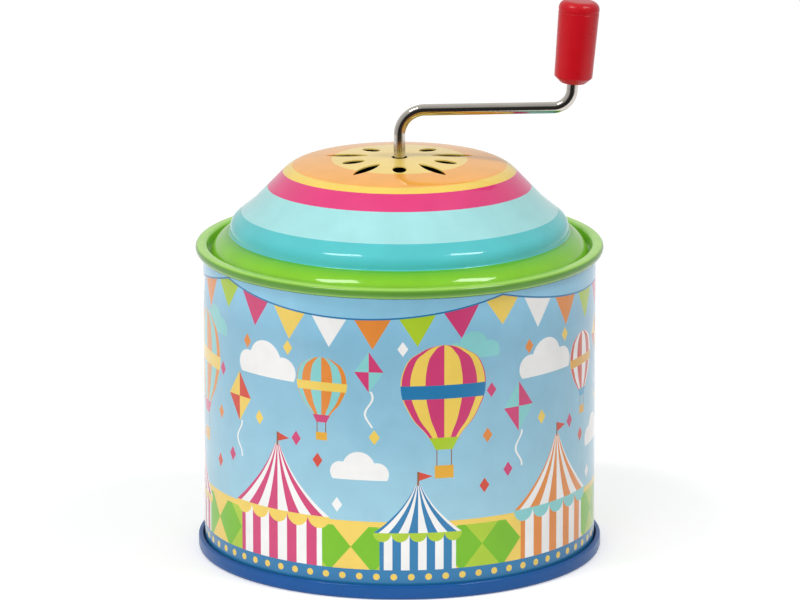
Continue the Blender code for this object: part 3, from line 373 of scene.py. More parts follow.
# %% Fold the lock seam
SEAM_HALF = 2.5
SEAM_LOW = 3.0
SEAM_HIGH = 56.2
SEAM_LIFT = 0.22
FOLD = 0.15


def select_faces(piece, test):
    """Select the faces that pass a test, in edit mode's face mode."""
    bpy.ops.object.mode_set(mode="OBJECT")
    for part in (piece.data.vertices, piece.data.edges, piece.data.polygons):
        part.foreach_set("select", [False] * len(part))
    for face in piece.data.polygons:
        face.select = test(face)
    bpy.ops.object.mode_set(mode="EDIT")
    bpy.ops.mesh.select_mode(type="FACE")


bpy.context.view_layer.objects.active = body
for place, normal in (
    ((SEAM_HALF, 0, 0), (1, 0, 0)), ((-SEAM_HALF, 0, 0), (1, 0, 0)),
    ((0, 0, SEAM_LOW), (0, 0, 1)), ((0, 0, SEAM_HIGH), (0, 0, 1)),
):
    select_faces(body, lambda face: face.center.y > 0 and abs(face.center.x) < (SEAM_HALF + 1.5) * MM)
    bpy.ops.mesh.bisect(plane_co=[value * MM for value in place], plane_no=normal)
select_faces(body, lambda face: face.center.y > 0 and face.normal.y > 0.9
             and abs(face.center.x) < SEAM_HALF * MM and SEAM_LOW * MM < face.center.z < SEAM_HIGH * MM)
extrude(0, SEAM_LIFT, 0)
bpy.ops.mesh.region_to_loop()
bpy.ops.mesh.bevel(offset=FOLD * MM, segments=3, profile=0.5)
bpy.ops.object.mode_set(mode="OBJECT")
report(body, "can_body")
settle(body, "can_body", "housing")

# %% [markdown]
# ## The base
# The base is a lacquered pressing: a recessed panel with a stiffening bead, and the rolled ring that closes
# over the body and carries the tin. Solidify would fold over itself in the tight ring, so here the whole
# section is drawn: the top of the panel, the ring, and the panel's underside one sheet lower.

# %% Spin the base
PANEL_HEIGHT = 3.45
BASE_RADIUS = 37.65
bead = [(27.5, PANEL_HEIGHT, 0.6), (28.25, 4.05, 0.5), (29.75, 4.05, 0.5), (30.5, PANEL_HEIGHT, 0.6)]
ring = [
    (35.95, PANEL_HEIGHT, 0.2), (35.95, 0.6, 0), (36.80, 0.6, 0), (36.80, 2.7, 0.12),
    (BASE_RADIUS, 2.7, 0.42), (BASE_RADIUS, 0, 0.75), (35.70, 0, 0.35), (35.70, PANEL_HEIGHT - SHEET, 0.25),
]
under = [(radius, height - SHEET, rounding) for radius, height, rounding in reversed(bead)]
outline = rounded([(0, PANEL_HEIGHT, 0), *bead, *ring, *under, (0, PANEL_HEIGHT - SHEET, 0)])
base = spun("base_pressing", outline, 256)
report(base, "base")
settle(base, "base", "housing")

# %% [markdown]
# ## The crank
# The crank is one steel wire, bent twice and nickel-plated. A curve with a round bevel would be quicker, but
# its bends are not true arcs. So a ring of points is extruded where the wire is straight and spun where it is
# bent, about the centre of each bend, exactly as a bending tool rolls it.

# %% Bend the wire
WIRE_RADIUS = 1.075
WIRE_FOOT = 50.3
WIRE_RING = 65.0
ARM_RISE = math.radians(1.0)
GRIP_LEAN = math.radians(4.5)
FIRST_BEND = 4.75
SECOND_BEND = 3.5
ARM_HEIGHT = 83.25
THROW = 31.62

bpy.ops.object.select_all(action="DESELECT")
bpy.ops.mesh.primitive_circle_add(vertices=40, radius=WIRE_RADIUS * MM, location=(0, 0, WIRE_FOOT * MM))
rod = bpy.context.object
rod.name = "crank_wire"
bpy.ops.object.transform_apply()
bpy.ops.object.mode_set(mode="EDIT")
bpy.ops.mesh.select_all(action="SELECT")
extrude(0, 0, WIRE_RING - WIRE_FOOT)
first_turn = math.pi / 2 - ARM_RISE
first_tangent = FIRST_BEND * math.tan(first_turn / 2)
bend_start = ARM_HEIGHT - first_tangent
extrude(0, 0, bend_start - WIRE_RING)
bpy.ops.mesh.spin(steps=24, angle=first_turn, center=(FIRST_BEND * MM, 0, bend_start * MM), axis=(0, -1, 0))
print("first bend starts at", round(bend_start, 2), "mm")

# %% Run the arm and the grip
WIRE_IN_KNOB = 12.0
second_turn = math.pi / 2 - ARM_RISE - GRIP_LEAN
second_tangent = SECOND_BEND * math.tan(second_turn / 2)
arm_run = THROW / math.cos(ARM_RISE) - first_tangent - second_tangent
along = Vector((math.cos(ARM_RISE), 0, math.sin(ARM_RISE)))
upward = Vector((-math.sin(ARM_RISE), 0, math.cos(ARM_RISE)))
for half in range(2):
    extrude(*(along * arm_run / 2))
arm_end = Vector((0, 0, ARM_HEIGHT)) + along * (first_tangent + arm_run)
centre = arm_end + upward * SECOND_BEND
bpy.ops.mesh.spin(steps=22, angle=second_turn, center=centre * MM, axis=(0, 1, 0))
grip = Vector((math.sin(GRIP_LEAN), 0, math.cos(GRIP_LEAN)))
extrude(*(grip * WIRE_IN_KNOB))
bpy.ops.mesh.edge_face_add()
bpy.ops.object.mode_set(mode="OBJECT")
for vertex in rod.data.vertices:
    vertex.select = vertex.co.z < (WIRE_FOOT + 0.01) * MM
bpy.ops.object.mode_set(mode="EDIT")
bpy.ops.mesh.select_mode(type="VERT")
bpy.ops.mesh.edge_face_add()
bpy.ops.mesh.select_all(action="SELECT")
bpy.ops.mesh.normals_make_consistent(inside=False)
bpy.ops.object.mode_set(mode="OBJECT")
report(rod, "crank_rod")
settle(rod, "crank_rod", "crank", 40)

# %% [markdown]
# ## The knob
# The knob is a moulded handle that spins freely on the wire. It widens a little towards the top, has a neck
# at its foot, and a fine line near the top where its cap meets the barrel. It could be modelled where it
# stands, but a lathe needs an axis, so it is spun upright on the tin's axis, then moved to the grip and
# leaned by the grip's 4.5 degrees.

# %% Spin the knob and lean it
KNOB_LENGTH = 15.45
KNOB_START = 4.71
BORE_RADIUS = 1.375
BORE_DEPTH = 2.0
knob_line = rounded([
    (BORE_RADIUS, BORE_DEPTH, 0), (BORE_RADIUS, 0, 0.15), (2.3, 0, 0.35), (3.54, 1.15, 0.45),
    (3.782, 13.35, 0.03), (3.72, 13.42, 0.05), (3.72, 13.58, 0.05), (3.788, 13.65, 0.03),
    (3.82, KNOB_LENGTH, 1.5), (0, KNOB_LENGTH, 0),
])
knob = spun("crank_handle", knob_line + [(0, BORE_DEPTH)], 128, closed=True)
arm_corner = Vector((THROW, 0, ARM_HEIGHT + THROW * math.tan(ARM_RISE)))
knob.location = (arm_corner + grip * KNOB_START) * MM
knob.rotation_euler.y = GRIP_LEAN
select_only(knob)
bpy.ops.object.transform_apply()
report(knob, "crank_knob")
settle(knob, "crank_knob", "knob", 35)

# %% [markdown]
# ## Camera
# The camera looks slightly down on the tin from well back, as a catalogue picture is taken. Its place and
# focal length come from fitting a pinhole camera to the rims of the tin.

# %% Place the camera
CAMERA_BACK = 1.2184
CAMERA_UP = 0.3515
CAMERA_TILT = math.radians(14.027)
lens = bpy.data.cameras.new("catalogue_camera")
lens.lens = 303.64
lens.sensor_width = 36.0
lens.shift_x = 0.000625
lens.clip_end = 20
camera = bpy.data.objects.new("catalogue_camera", lens)
bpy.context.scene.collection.objects.link(camera)
camera.location = (0, -CAMERA_BACK, CAMERA_UP)
camera.rotation_euler = (math.pi / 2 - CAMERA_TILT, 0, 0)
bpy.context.scene.camera = camera
print("camera at", [round(value, 3) for value in camera.location])

# %% [markdown]
# ## Materials
# One small function adds a node to a material, sets it, feeds its sockets and hands back an output. Every
# material below is built from it. Feeding is a function of its own, because the shader is fed too. A list
# feeds the sockets from the top: a Map Range takes its value, the range it comes from and the one it goes to.

# %% The node function
def feed(tree, target, feeds):
    """Feed the sockets of a node with links or plain values."""
    for key, value in feeds.items() if isinstance(feeds, dict) else enumerate(feeds):
        if isinstance(value, bpy.types.NodeSocket):
            tree.links.new(value, target.inputs[key])
        else:
            target.inputs[key].default_value = value


def node(tree, kind, feeds=(), out=0, **settings):
    """Add one node, such as Mix or Math.ADD, set it, feed its sockets and return one output."""
    kind, _, operation = kind.partition(".")
    made = tree.nodes.new("ShaderNode" + kind)
    if operation:
        made.operation = operation
    for name, value in settings.items():
        setattr(made, name, value)
    feed(tree, made, feeds)
    return made.outputs[out]


def open_material(name):
    """Return the node tree of a material and its Principled shader."""
    material = bpy.data.materials.get(name) or bpy.data.materials.new(name)
    material.use_nodes = True
    return material.node_tree, material.node_tree.nodes["Principled BSDF"]


def set_stops(ramp, stops):
    """Fill a colour ramp with stops of (position, linear colour)."""
    for index, (position, colour) in enumerate(stops):
        stop = ramp.elements[index] if index < 2 else ramp.elements.new(position)
        stop.position = position
        stop.color = colour


print(len(bpy.data.materials), "materials wait for their nodes")

# %% [markdown]
# ## Printed tinplate
# The tin is tinplate, a thin steel sheet with a bright coat of tin. It is printed flat by lithography, baked,
# varnished and only then pressed. So the colours are crisp flat inks, the varnish is glossy, and the sheet
# under it is never quite flat: highlights waver a little. The ink is matt in itself, and the varnish is the
# shader's coat. Noise is scaled in lumps per metre: the ink's density changes over 4.5 mm, smudges are 11 mm
# across, the sheet waves over 13 mm, and the varnish dries to an orange peel of 0.6 mm.

# %% The varnished print finish
INK_PATCHES, SMUDGES, SHEET_WAVES, ORANGE_PEEL = 220.0, 90.0, 75.0, 1800.0


def varnished(tree, shader, ink, place, roughness=0.07, coat=0.85):
    """Give a shader a flat ink under varnish, with a wavy sheet and a fine orange peel."""
    density = node(tree, "TexNoise", {"Vector": place, "Scale": INK_PATCHES, "Detail": 4.0})
    shade = node(tree, "MapRange", [density, 0.3, 0.7, 0.955, 1.03])
    smudge = node(tree, "TexNoise", {"Vector": place, "Scale": SMUDGES, "Detail": 5.0})
    polish = node(tree, "MapRange", [smudge, 0.35, 0.65, roughness - 0.02, roughness + 0.04])
    wave = node(tree, "TexNoise", {"Vector": place, "Scale": SHEET_WAVES, "Detail": 1.0})
    sheet = node(tree, "Bump", {"Height": wave, "Strength": 0.045, "Distance": 0.12 * MM})
    peel = node(tree, "TexNoise", {"Vector": place, "Scale": ORANGE_PEEL, "Detail": 2.0})
    skin = node(tree, "Bump", {"Height": peel, "Strength": 0.06, "Distance": 0.02 * MM, "Normal": sheet})
    feed(tree, shader, {
        "Base Color": node(tree, "HueSaturation", {"Value": shade, "Color": ink}),
        "Roughness": 0.5, "Specular IOR Level": 0.12, "Normal": sheet,
        "Coat Weight": coat, "Coat Roughness": polish, "Coat IOR": 1.45, "Coat Normal": skin,
    })


print("orange peel of", round(1 / (ORANGE_PEEL * MM), 2), "mm")

# %% [markdown]
# ### Inks
# The printer mixes a small set of inks and lays each over the sheet through a mask that is 1 where it prints.
# The palette helper picks one of a few inks by a whole number, which is how one motif gets different colours
# from repeat to repeat.

# %% Mix the inks
INK = {
    "sky": "#82B6D0", "pale_sky": "#9CC9DA", "rim_sky": "#8FC8E4", "deep_blue": "#2878AA", "blue": "#4FA3C6",
    "sea": "#86CBCB", "yellow": "#ECCB5E", "amber": "#E0A62B", "orange": "#E0883A", "red": "#CF4430",
    "magenta": "#CB3F72", "lime": "#A9C72E", "green": "#74B814", "white": "#EDECEA", "brown": "#8A5A33",
}


def over(sheet, mask, ink):
    """Lay an ink, given by its name, its code or a socket, over the sheet where the mask is 1."""
    colour = linear(INK.get(ink, ink)) if isinstance(ink, str) else ink
    return node(mask.id_data, "Mix", {0: mask, 6: sheet, 7: colour}, out=2, data_type="RGBA")


def every(*masks):
    """The place where all masks hold."""
    both = masks[0]
    for mask in masks[1:]:
        both = node(mask.id_data, "Math.MULTIPLY", [both, mask])
    return both


def palette(number, names):
    """Pick an ink by a whole number, counted from 0."""
    tree = number.id_data
    middle = node(tree, "Math.ADD", [number, 0.5])
    picked = node(tree, "ValToRGB", [node(tree, "Math.DIVIDE", [middle, len(names)])])
    picked.node.color_ramp.interpolation = "CONSTANT"
    steps = enumerate(names)
    set_stops(picked.node.color_ramp, [(step / len(names), linear(INK[name])) for step, name in steps])
    return picked


print(len(INK), "inks")

# %% [markdown]
# ### The lid's rings
# The lid is printed with plain rings: yellow and orange on the crown, magenta on the flank, pale aqua and
# teal down to the eave. They could be faces with materials of their own, but the print doesn't follow the
# pressing. So each ring is a stop of a colour ramp that reads the distance from the print's centre, and that
# sits 0.75 mm towards the back, because print and press never register perfectly. The shelf and the rim are
# green, with painted shade in that green: it is deepest in the fold at the dome's foot, where the crease gets
# little light, paler outwards, and darker again on the rim's outer curl, which gets less light too.

# %% Print the lid
RINGS = (
    (0.0, "#FBDA6E"), (12.5, "#FBAE3E"), (19.8, "#F6D35E"),
    (21.66, "#E23A7B"), (24.43, "#A4DFE0"), (29.31, "#52C3C7"),
)
LID_REACH = 38.0
MISREGISTER = 0.75
GREEN_FROM = 31.62
# Painted shade: a deep green in the fold at the dome's foot, paler green outwards, a darker green on the
# rim's curl.
PAINTED_SHADE_GREEN = "#52B01C"
GREENS_WITH_PAINTED_SHADE = ((31.6, 34.0, "#82C81C"), (34.0, 36.6, "#A2DA52"), (37.5, 37.85, "#5C9434"))
# Lithographed tinplate: crisp plain rings under a clear, sharp gloss.
tree, shader = open_material("tinplate_lithographed_lid")
place = node(tree, "TexCoord", out="Object")
flat = node(tree, "VectorMath.MULTIPLY", [place, (1000.0, 1000.0, 0.0)])
distance = node(tree, "VectorMath.DISTANCE", [flat, (0.0, MISREGISTER, 0.0)], out="Value")
rings = node(tree, "ValToRGB", [node(tree, "Math.DIVIDE", [distance, LID_REACH])])
rings.node.color_ramp.interpolation = "CONSTANT"
set_stops(rings.node.color_ramp, [(radius / LID_REACH, linear(code)) for radius, code in RINGS])
reach = node(tree, "VectorMath.LENGTH", [flat], out="Value")
# Painted shade: the green is blended from the fold's painted shade out to paler green, then darker on the
# rim's curl.
green = linear(PAINTED_SHADE_GREEN)
for start, end, code in GREENS_WITH_PAINTED_SHADE:
    share = node(tree, "MapRange", [reach, start, end])
    green = over(green, share, code)
outer = node(tree, "Math.GREATER_THAN", [reach, GREEN_FROM])
varnished(tree, shader, over(rings, outer, green), place)
print("lid printed with", len(RINGS) + 1, "rings")

# %% [markdown]
# ### The body's picture
# The wall carries a cheerful fairground print of our own: bunting under the rim, hot-air balloons, kites and
# clouds on a blue sky, and striped tents on a harlequin lawn. We lay it out as a printer would, on the flat
# sheet: u runs round the tin in mm and v is the height in mm. The picture repeats four times round the tin,
# with colours that change from one repeat to the next.

# %% Flatten the wall
REPEATS = 4
CELL = math.tau * BODY_RADIUS / REPEATS
SHIFT = 9.0
# Lithographed tinplate again: flat inks with clean edges, and lamps mirrored softly in the varnish.
tree, shader = open_material("tinplate_lithographed_body")
place = node(tree, "TexCoord", out="Object")
x, y, z = (node(tree, "SeparateXYZ", [place], out=axis) for axis in "XYZ")
ahead = node(tree, "Math.MULTIPLY", [y, -1.0])
turn = node(tree, "Math.ARCTAN2", [x, ahead])
u_all = node(tree, "Math.MULTIPLY_ADD", [turn, BODY_RADIUS, SHIFT + CELL * REPEATS])
v = node(tree, "Math.MULTIPLY", [z, 1000.0])
cell_share = node(tree, "Math.DIVIDE", [u_all, CELL])
cell = node(tree, "Math.ROUND", [cell_share])
u = node(tree, "Math.MULTIPLY_ADD", [cell, -CELL, u_all])
second = node(tree, "Math.FLOORED_MODULO", [cell, 2.0])
fourth = node(tree, "Math.FLOORED_MODULO", [cell, REPEATS])
third = node(tree, "Math.MINIMUM", [fourth, 2.0])
print("one repeat is", round(CELL, 2), "mm wide")

# %% [markdown]
# ### Sky, clouds and lawn
# The sky is paler towards the ground. Under the rim it is painted lighter, as painted light against the rim's
# shade. A cloud is three circles cut off flat. The lawn is a harlequin pattern: two families of slanted
# stripes, whose numbers are added up to choose an ink.

# %% Lay the sky
CLOUDS = (((-18.0, 40.4), 4.6, "white"), ((1.5, 23.0), 3.6, "white"), ((22.8, 45.4), 3.4, "sea"))
deepening = node(tree, "MapRange", [v, 8.0, 50.0])
sheet = over(linear(INK["pale_sky"]), deepening, "sky")
# Painted light: the sky turns lighter just under the rim, where the rim's shade falls.
painted_light_under_rim = node(tree, "MapRange", [v, 47.0, 55.0])
sheet = over(sheet, painted_light_under_rim, "rim_sky")
flat = node(tree, "CombineXYZ", [u, v, 0.0])


def cloud(centre, size):
    """Three circles on a flat base."""
    nearest = None
    for across, up, radius in ((-0.95, 0.18, 0.55), (0.0, 0.42, 0.85), (0.95, 0.12, 0.60)):
        middle = (centre[0] + across * size, centre[1] + up * size, 0.0)
        gap = node(tree, "VectorMath.DISTANCE", [flat, middle], out="Value")
        gap = node(tree, "Math.SUBTRACT", [gap, radius * size])
        nearest = gap if nearest is None else node(tree, "Math.MINIMUM", [nearest, gap])
    inside = node(tree, "Math.LESS_THAN", [nearest, 0.0])
    return every(inside, node(tree, "Math.GREATER_THAN", [v, centre[1] - 0.2 * size]))


for centre, size, ink in CLOUDS:
    sheet = over(sheet, cloud(centre, size), ink)
print(len(CLOUDS), "clouds in each repeat")

# %% Sow the lawn
DIAMOND_WIDTH = CELL / 7
DIAMOND_HEIGHT = 9.6
LAWN_TOP = 14.0
PLINTH_TOP = 5.4
across = node(tree, "Math.DIVIDE", [u_all, DIAMOND_WIDTH])
up = node(tree, "Math.DIVIDE", [v, DIAMOND_HEIGHT])
rising = node(tree, "Math.FLOOR", [node(tree, "Math.ADD", [across, up])])
falling = node(tree, "Math.FLOOR", [node(tree, "Math.SUBTRACT", [across, up])])
number = node(tree, "Math.ADD", [rising, falling])
number = node(tree, "Math.FLOORED_MODULO", [number, 4.0])
lawn = node(tree, "Math.LESS_THAN", [v, LAWN_TOP])
sheet = over(sheet, lawn, palette(number, ["green", "lime", "green", "yellow"]))
border = node(tree, "Math.COMPARE", [v, LAWN_TOP, 0.5])
sheet = over(sheet, border, "yellow")
print("diamonds", round(DIAMOND_WIDTH, 2), "mm apart")

# %% [markdown]
# ### Tents
# A big top stands in each repeat. Its roof sweeps up in a hollow curve to the pole, which a Float Curve node
# gives as half the roof's width for each height. Dividing u by that width makes the stripes meet at the top.

# %% Widths and stripes
ROOF = ((0.0, 1.0), (1.0, 0.04), (0.3, 0.60), (0.65, 0.26))


def outline_share(low, high, points):
    """Half a motif's width, as a share of its widest, from its foot to its top."""
    height = node(tree, "MapRange", [v, low, high])
    share = node(tree, "FloatCurve", {"Value": height})
    curve = share.node.mapping.curves[0]
    for index, (at, value) in enumerate(points):
        if index < 2:
            curve.points[index].location = (at, value)
        else:
            curve.points.new(at, value)
    share.node.mapping.update()
    within = node(tree, "Math.COMPARE", [v, (low + high) / 2, (high - low) / 2])
    return share, within


def stripes(across, count):
    """1 on every other of some equal stripes from -1 to 1."""
    number = node(tree, "Math.MULTIPLY", [across, count / 2])
    return node(tree, "Math.FLOORED_MODULO", [node(tree, "Math.FLOOR", [number]), 2.0])


print("the roof's curve has", len(ROOF), "points")

# %% Pitch the tents
POLE_HALF = 0.18


def pennant(sheet, from_middle, top):
    """A pole on a tent's top, with a small flag that narrows away from it."""
    pole = every(
        node(tree, "Math.COMPARE", [from_middle, 0.0, POLE_HALF]),
        node(tree, "Math.COMPARE", [v, top + 0.9, 1.3]),
    )
    sheet = over(sheet, pole, "brown")
    rise = node(tree, "Math.SUBTRACT", [v, top + 1.3])
    rise = node(tree, "Math.ABSOLUTE", [rise])
    length = node(tree, "Math.MULTIPLY_ADD", [rise, -3.0, 2.7])
    flag = every(
        node(tree, "Math.LESS_THAN", [from_middle, length]),
        node(tree, "Math.GREATER_THAN", [from_middle, POLE_HALF]),
    )
    return over(sheet, flag, "red")


def tent(sheet, middle, foot, half, number):
    """Walls, roof, valance and pennant of one tent."""
    eave = foot + half * 0.85
    top = eave + half * 1.15
    from_middle = node(tree, "Math.SUBTRACT", [u, middle])
    wall_across = node(tree, "Math.DIVIDE", [from_middle, half * 0.86])
    wall = every(
        node(tree, "Math.COMPARE", [wall_across, 0.0, 1.0]),
        node(tree, "Math.COMPARE", [v, (foot + eave) / 2, (eave - foot) / 2]),
    )
    bright = palette(number, ["magenta", "orange", "deep_blue"])
    sheet = over(sheet, wall, "white")
    sheet = over(sheet, every(wall, stripes(wall_across, 9)), bright)
    share, within = outline_share(eave, top, ROOF)
    roof_across = node(tree, "Math.DIVIDE", [from_middle, node(tree, "Math.MULTIPLY", [share, half])])
    roof = every(within, node(tree, "Math.COMPARE", [roof_across, 0.0, 1.0]))
    sheet = over(sheet, roof, "white")
    sheet = over(sheet, every(roof, stripes(roof_across, 9)), bright)
    scallop = half / 5
    wrapped = node(tree, "Math.WRAP", [from_middle, scallop, -scallop])
    down = node(tree, "Math.SUBTRACT", [v, eave])
    swing = node(tree, "CombineXYZ", [wrapped, down, 0.0])
    reach = node(tree, "VectorMath.LENGTH", [swing], out="Value")
    valance = every(
        node(tree, "Math.LESS_THAN", [reach, scallop]),
        node(tree, "Math.LESS_THAN", [down, 0.05]),
        node(tree, "Math.COMPARE", [from_middle, 0.0, half]),
    )
    sheet = over(sheet, valance, palette(number, ["yellow", "sea", "lime"]))
    return pennant(sheet, from_middle, top)


sheet = tent(sheet, -15.0, PLINTH_TOP, 11.0, third)
sheet = tent(sheet, 12.4, PLINTH_TOP, 8.2, node(tree, "Math.SUBTRACT", [2.0, third]))
print("tents pitched,", len(tree.nodes), "nodes so far")

# %% Stud the plinth
STUD_PITCH = CELL / 18
STUD_HEIGHT = 4.1
STUD_RADIUS = 0.62
plinth = node(tree, "Math.LESS_THAN", [v, PLINTH_TOP])
sheet = over(sheet, plinth, "deep_blue")
stud = node(tree, "Math.WRAP", [u_all, STUD_PITCH, 0.0])
stud = node(tree, "CombineXYZ", [stud, v, 0.0])
stud = node(tree, "VectorMath.DISTANCE", [stud, (STUD_PITCH / 2, STUD_HEIGHT, 0.0)], out="Value")
sheet = over(sheet, node(tree, "Math.LESS_THAN", [stud, STUD_RADIUS]), "yellow")
print("studs", round(STUD_PITCH, 2), "mm apart")

# %% [markdown]
# ### Balloons
# A hot-air balloon is sewn from gores, strips that are widest in the middle and meet at the crown. Seen from
# the side they crowd together towards the edges, which an arcsine gives exactly.

# %% Fly the balloons
ENVELOPE = ((0.0, 0.20), (1.0, 0.0), (0.12, 0.36), (0.35, 0.80), (0.6, 1.0), (0.8, 0.90), (0.93, 0.58))


def balloon(sheet, middle, mouth, half, number):
    """Envelope with gores and a belt, ropes and a basket."""
    top = mouth + half * 2.45
    from_middle = node(tree, "Math.SUBTRACT", [u, middle])
    share, within = outline_share(mouth, top, ENVELOPE)
    across = node(tree, "Math.DIVIDE", [from_middle, node(tree, "Math.MULTIPLY", [share, half])])
    envelope = every(within, node(tree, "Math.COMPARE", [across, 0.0, 1.0]))
    turned = node(tree, "Math.ARCSINE", [across])
    turned = node(tree, "Math.DIVIDE", [turned, math.pi / 2])
    sheet = over(sheet, envelope, palette(number, ["yellow", "white", "orange"]))
    gores = every(envelope, stripes(turned, 7))
    sheet = over(sheet, gores, palette(number, ["magenta", "red", "sea"]))
    belt = every(envelope, node(tree, "Math.COMPARE", [v, mouth + half * 1.35, half * 0.16]))
    sheet = over(sheet, belt, palette(number, ["deep_blue", "amber", "yellow"]))
    skirt = every(envelope, node(tree, "Math.LESS_THAN", [v, mouth + half * 0.28]))
    sheet = over(sheet, skirt, palette(number, ["lime", "blue", "magenta"]))
    width = node(tree, "Math.ABSOLUTE", [from_middle])
    ropes = every(
        node(tree, "Math.COMPARE", [width, half * 0.17, 0.09]),
        node(tree, "Math.COMPARE", [v, mouth - half * 0.2, half * 0.2]),
    )
    sheet = over(sheet, ropes, "brown")
    basket = every(
        node(tree, "Math.LESS_THAN", [width, half * 0.22]),
        node(tree, "Math.COMPARE", [v, mouth - half * 0.52, half * 0.15]),
    )
    return over(sheet, basket, "amber")


sheet = balloon(sheet, 17.2, 28.0, 8.0, third)
sheet = balloon(sheet, -5.6, 32.6, 5.0, node(tree, "Math.SUBTRACT", [2.0, third]))
print("balloons up,", len(tree.nodes), "nodes so far")

# %% [markdown]
# ### Kites and confetti
# A kite is a diamond in two colours, with a wavering tail. Small stray diamonds of confetti fill the gaps.

# %% Let the kites go
CONFETTI = (
    ((-10.8, 29.0), "magenta"), ((-19.4, 31.5), "yellow"), ((25.6, 30.0), "orange"), ((4.4, 30.4), "yellow"),
    ((-12.6, 45.8), "yellow"), ((26.4, 38.4), "magenta"), ((-2.6, 17.4), "white"), ((25.0, 20.6), "red"),
    ((-27.4, 23.0), "magenta"), ((9.6, 47.0), "white"), ((-6.4, 25.4), "red"), ((-22.6, 45.4), "orange"),
)


def diamond(middle, halves):
    """Signed places across and up from a middle, and the mask of a diamond."""
    across = node(tree, "Math.SUBTRACT", [u, middle[0]])
    up = node(tree, "Math.SUBTRACT", [v, middle[1]])
    wide = node(tree, "Math.DIVIDE", [node(tree, "Math.ABSOLUTE", [across]), halves[0]])
    tall = node(tree, "Math.DIVIDE", [node(tree, "Math.ABSOLUTE", [up]), halves[1]])
    inside = node(tree, "Math.LESS_THAN", [node(tree, "Math.ADD", [wide, tall]), 1.0])
    return across, up, inside


def kite(sheet, middle, halves, number):
    """A two-coloured kite with its tail."""
    across, up, inside = diamond(middle, halves)
    sway = node(tree, "Math.SINE", [up])
    strayed = node(tree, "Math.MULTIPLY_ADD", [sway, -0.7, across])
    tail = every(
        node(tree, "Math.COMPARE", [strayed, 0.0, 0.2]),
        node(tree, "Math.COMPARE", [up, -halves[1] - 3.2, 3.4]),
    )
    sheet = over(sheet, tail, "white")
    sheet = over(sheet, inside, palette(number, ["red", "magenta"]))
    corner = node(tree, "Math.LESS_THAN", [node(tree, "Math.MULTIPLY", [across, up]), 0.0])
    return over(sheet, every(inside, corner), palette(number, ["yellow", "sea"]))


sheet = kite(sheet, (-25.0, 34.5), (3.3, 4.7), second)
sheet = kite(sheet, (3.4, 42.6), (2.7, 3.8), node(tree, "Math.SUBTRACT", [1.0, second]))
for middle, ink in CONFETTI:
    sheet = over(sheet, diamond(middle, (1.0, 1.4))[2], ink)
print("kites out,", len(tree.nodes), "nodes so far")

# %% [markdown]
# ### Bunting
# A string sags in one swag per repeat, and its flags are triangles that hang from it at an even spacing.

# %% Hang the bunting
FLAG_PITCH = CELL / 7
FLAG_LENGTH = 5.6
FLAG_HALF = 0.42
STRING_SAG = 3.6
STRING_LOW = 52.4
squared = node(tree, "Math.MULTIPLY", [u, u])
string = node(tree, "Math.MULTIPLY_ADD", [squared, STRING_SAG / (CELL / 2) ** 2, STRING_LOW])
drop = node(tree, "Math.SUBTRACT", [string, v])
flag_share = node(tree, "Math.DIVIDE", [u_all, FLAG_PITCH])
flag_number = node(tree, "Math.FLOOR", [flag_share])
in_flag = node(tree, "Math.WRAP", [flag_share, 1.0, 0.0])
from_middle = node(tree, "Math.ABSOLUTE", [node(tree, "Math.SUBTRACT", [in_flag, 0.5])])
taper = node(tree, "Math.MULTIPLY_ADD", [drop, -FLAG_HALF / FLAG_LENGTH, FLAG_HALF])
flags = every(
    node(tree, "Math.LESS_THAN", [from_middle, taper]),
    node(tree, "Math.GREATER_THAN", [drop, 0.0]),
)
flag_number = node(tree, "Math.FLOORED_MODULO", [flag_number, 5.0])
sheet = over(sheet, flags, palette(flag_number, ["magenta", "yellow", "white", "orange", "lime"]))
sheet = over(sheet, node(tree, "Math.COMPARE", [drop, 0.0, 0.16]), "deep_blue")
varnished(tree, shader, sheet, place)
print("the body's print has", len(tree.nodes), "nodes")

# %% [markdown]
# ## Lacquer, plate and plastic
# The base is lacquered in one deep blue. The inside of the sheet is bare tinplate, with the fine grain that
# rolling leaves. The wire is bright nickel plate over drawn steel. The knob is moulded in a red plastic such
# as polypropylene, a little translucent, with the soft waviness of a thick moulding that has shrunk.

# %% Lacquer the base
# Roller-lacquered tinplate: one even deep blue, with a softer gloss than the varnished print has.
tree, shader = open_material("tinplate_blue_lacquered")
place = node(tree, "TexCoord", out="Object")
varnished(tree, shader, linear("#0C5296"), place, roughness=0.10, coat=0.4)
base.data.materials.append(bpy.data.materials["tinplate_blue_lacquered"])
print("base lacquered with", len(tree.nodes), "nodes")

# %% Metals
STAINS = 130.0


def metal(name, code, roughness, grain, stretch, worn=0.06, depth=0.01):
    """A metal with a worked grain: its colour, its gloss, and the size of its grain in mm."""
    tree, shader = open_material(name)
    place = node(tree, "TexCoord", out="Object")
    along = node(tree, "Mapping", {"Vector": place, "Scale": stretch})
    lines = node(tree, "TexNoise", {"Vector": along, "Scale": 1000.0 / grain, "Detail": 5.0})
    stain = node(tree, "TexNoise", {"Vector": place, "Scale": STAINS, "Detail": 3.0})
    shade = node(tree, "MapRange", [stain, 0.3, 0.7, 0.9, 1.05])
    gloss = node(tree, "MapRange", [lines, 0.3, 0.7, roughness - worn, roughness + worn])
    feed(tree, shader, {
        "Base Color": node(tree, "HueSaturation", {"Value": shade, "Color": linear(code)}),
        "Metallic": 1.0, "Roughness": gloss,
        "Normal": node(tree, "Bump", {"Height": lines, "Strength": 0.35, "Distance": depth * MM}),
    })
    return bpy.data.materials[name]


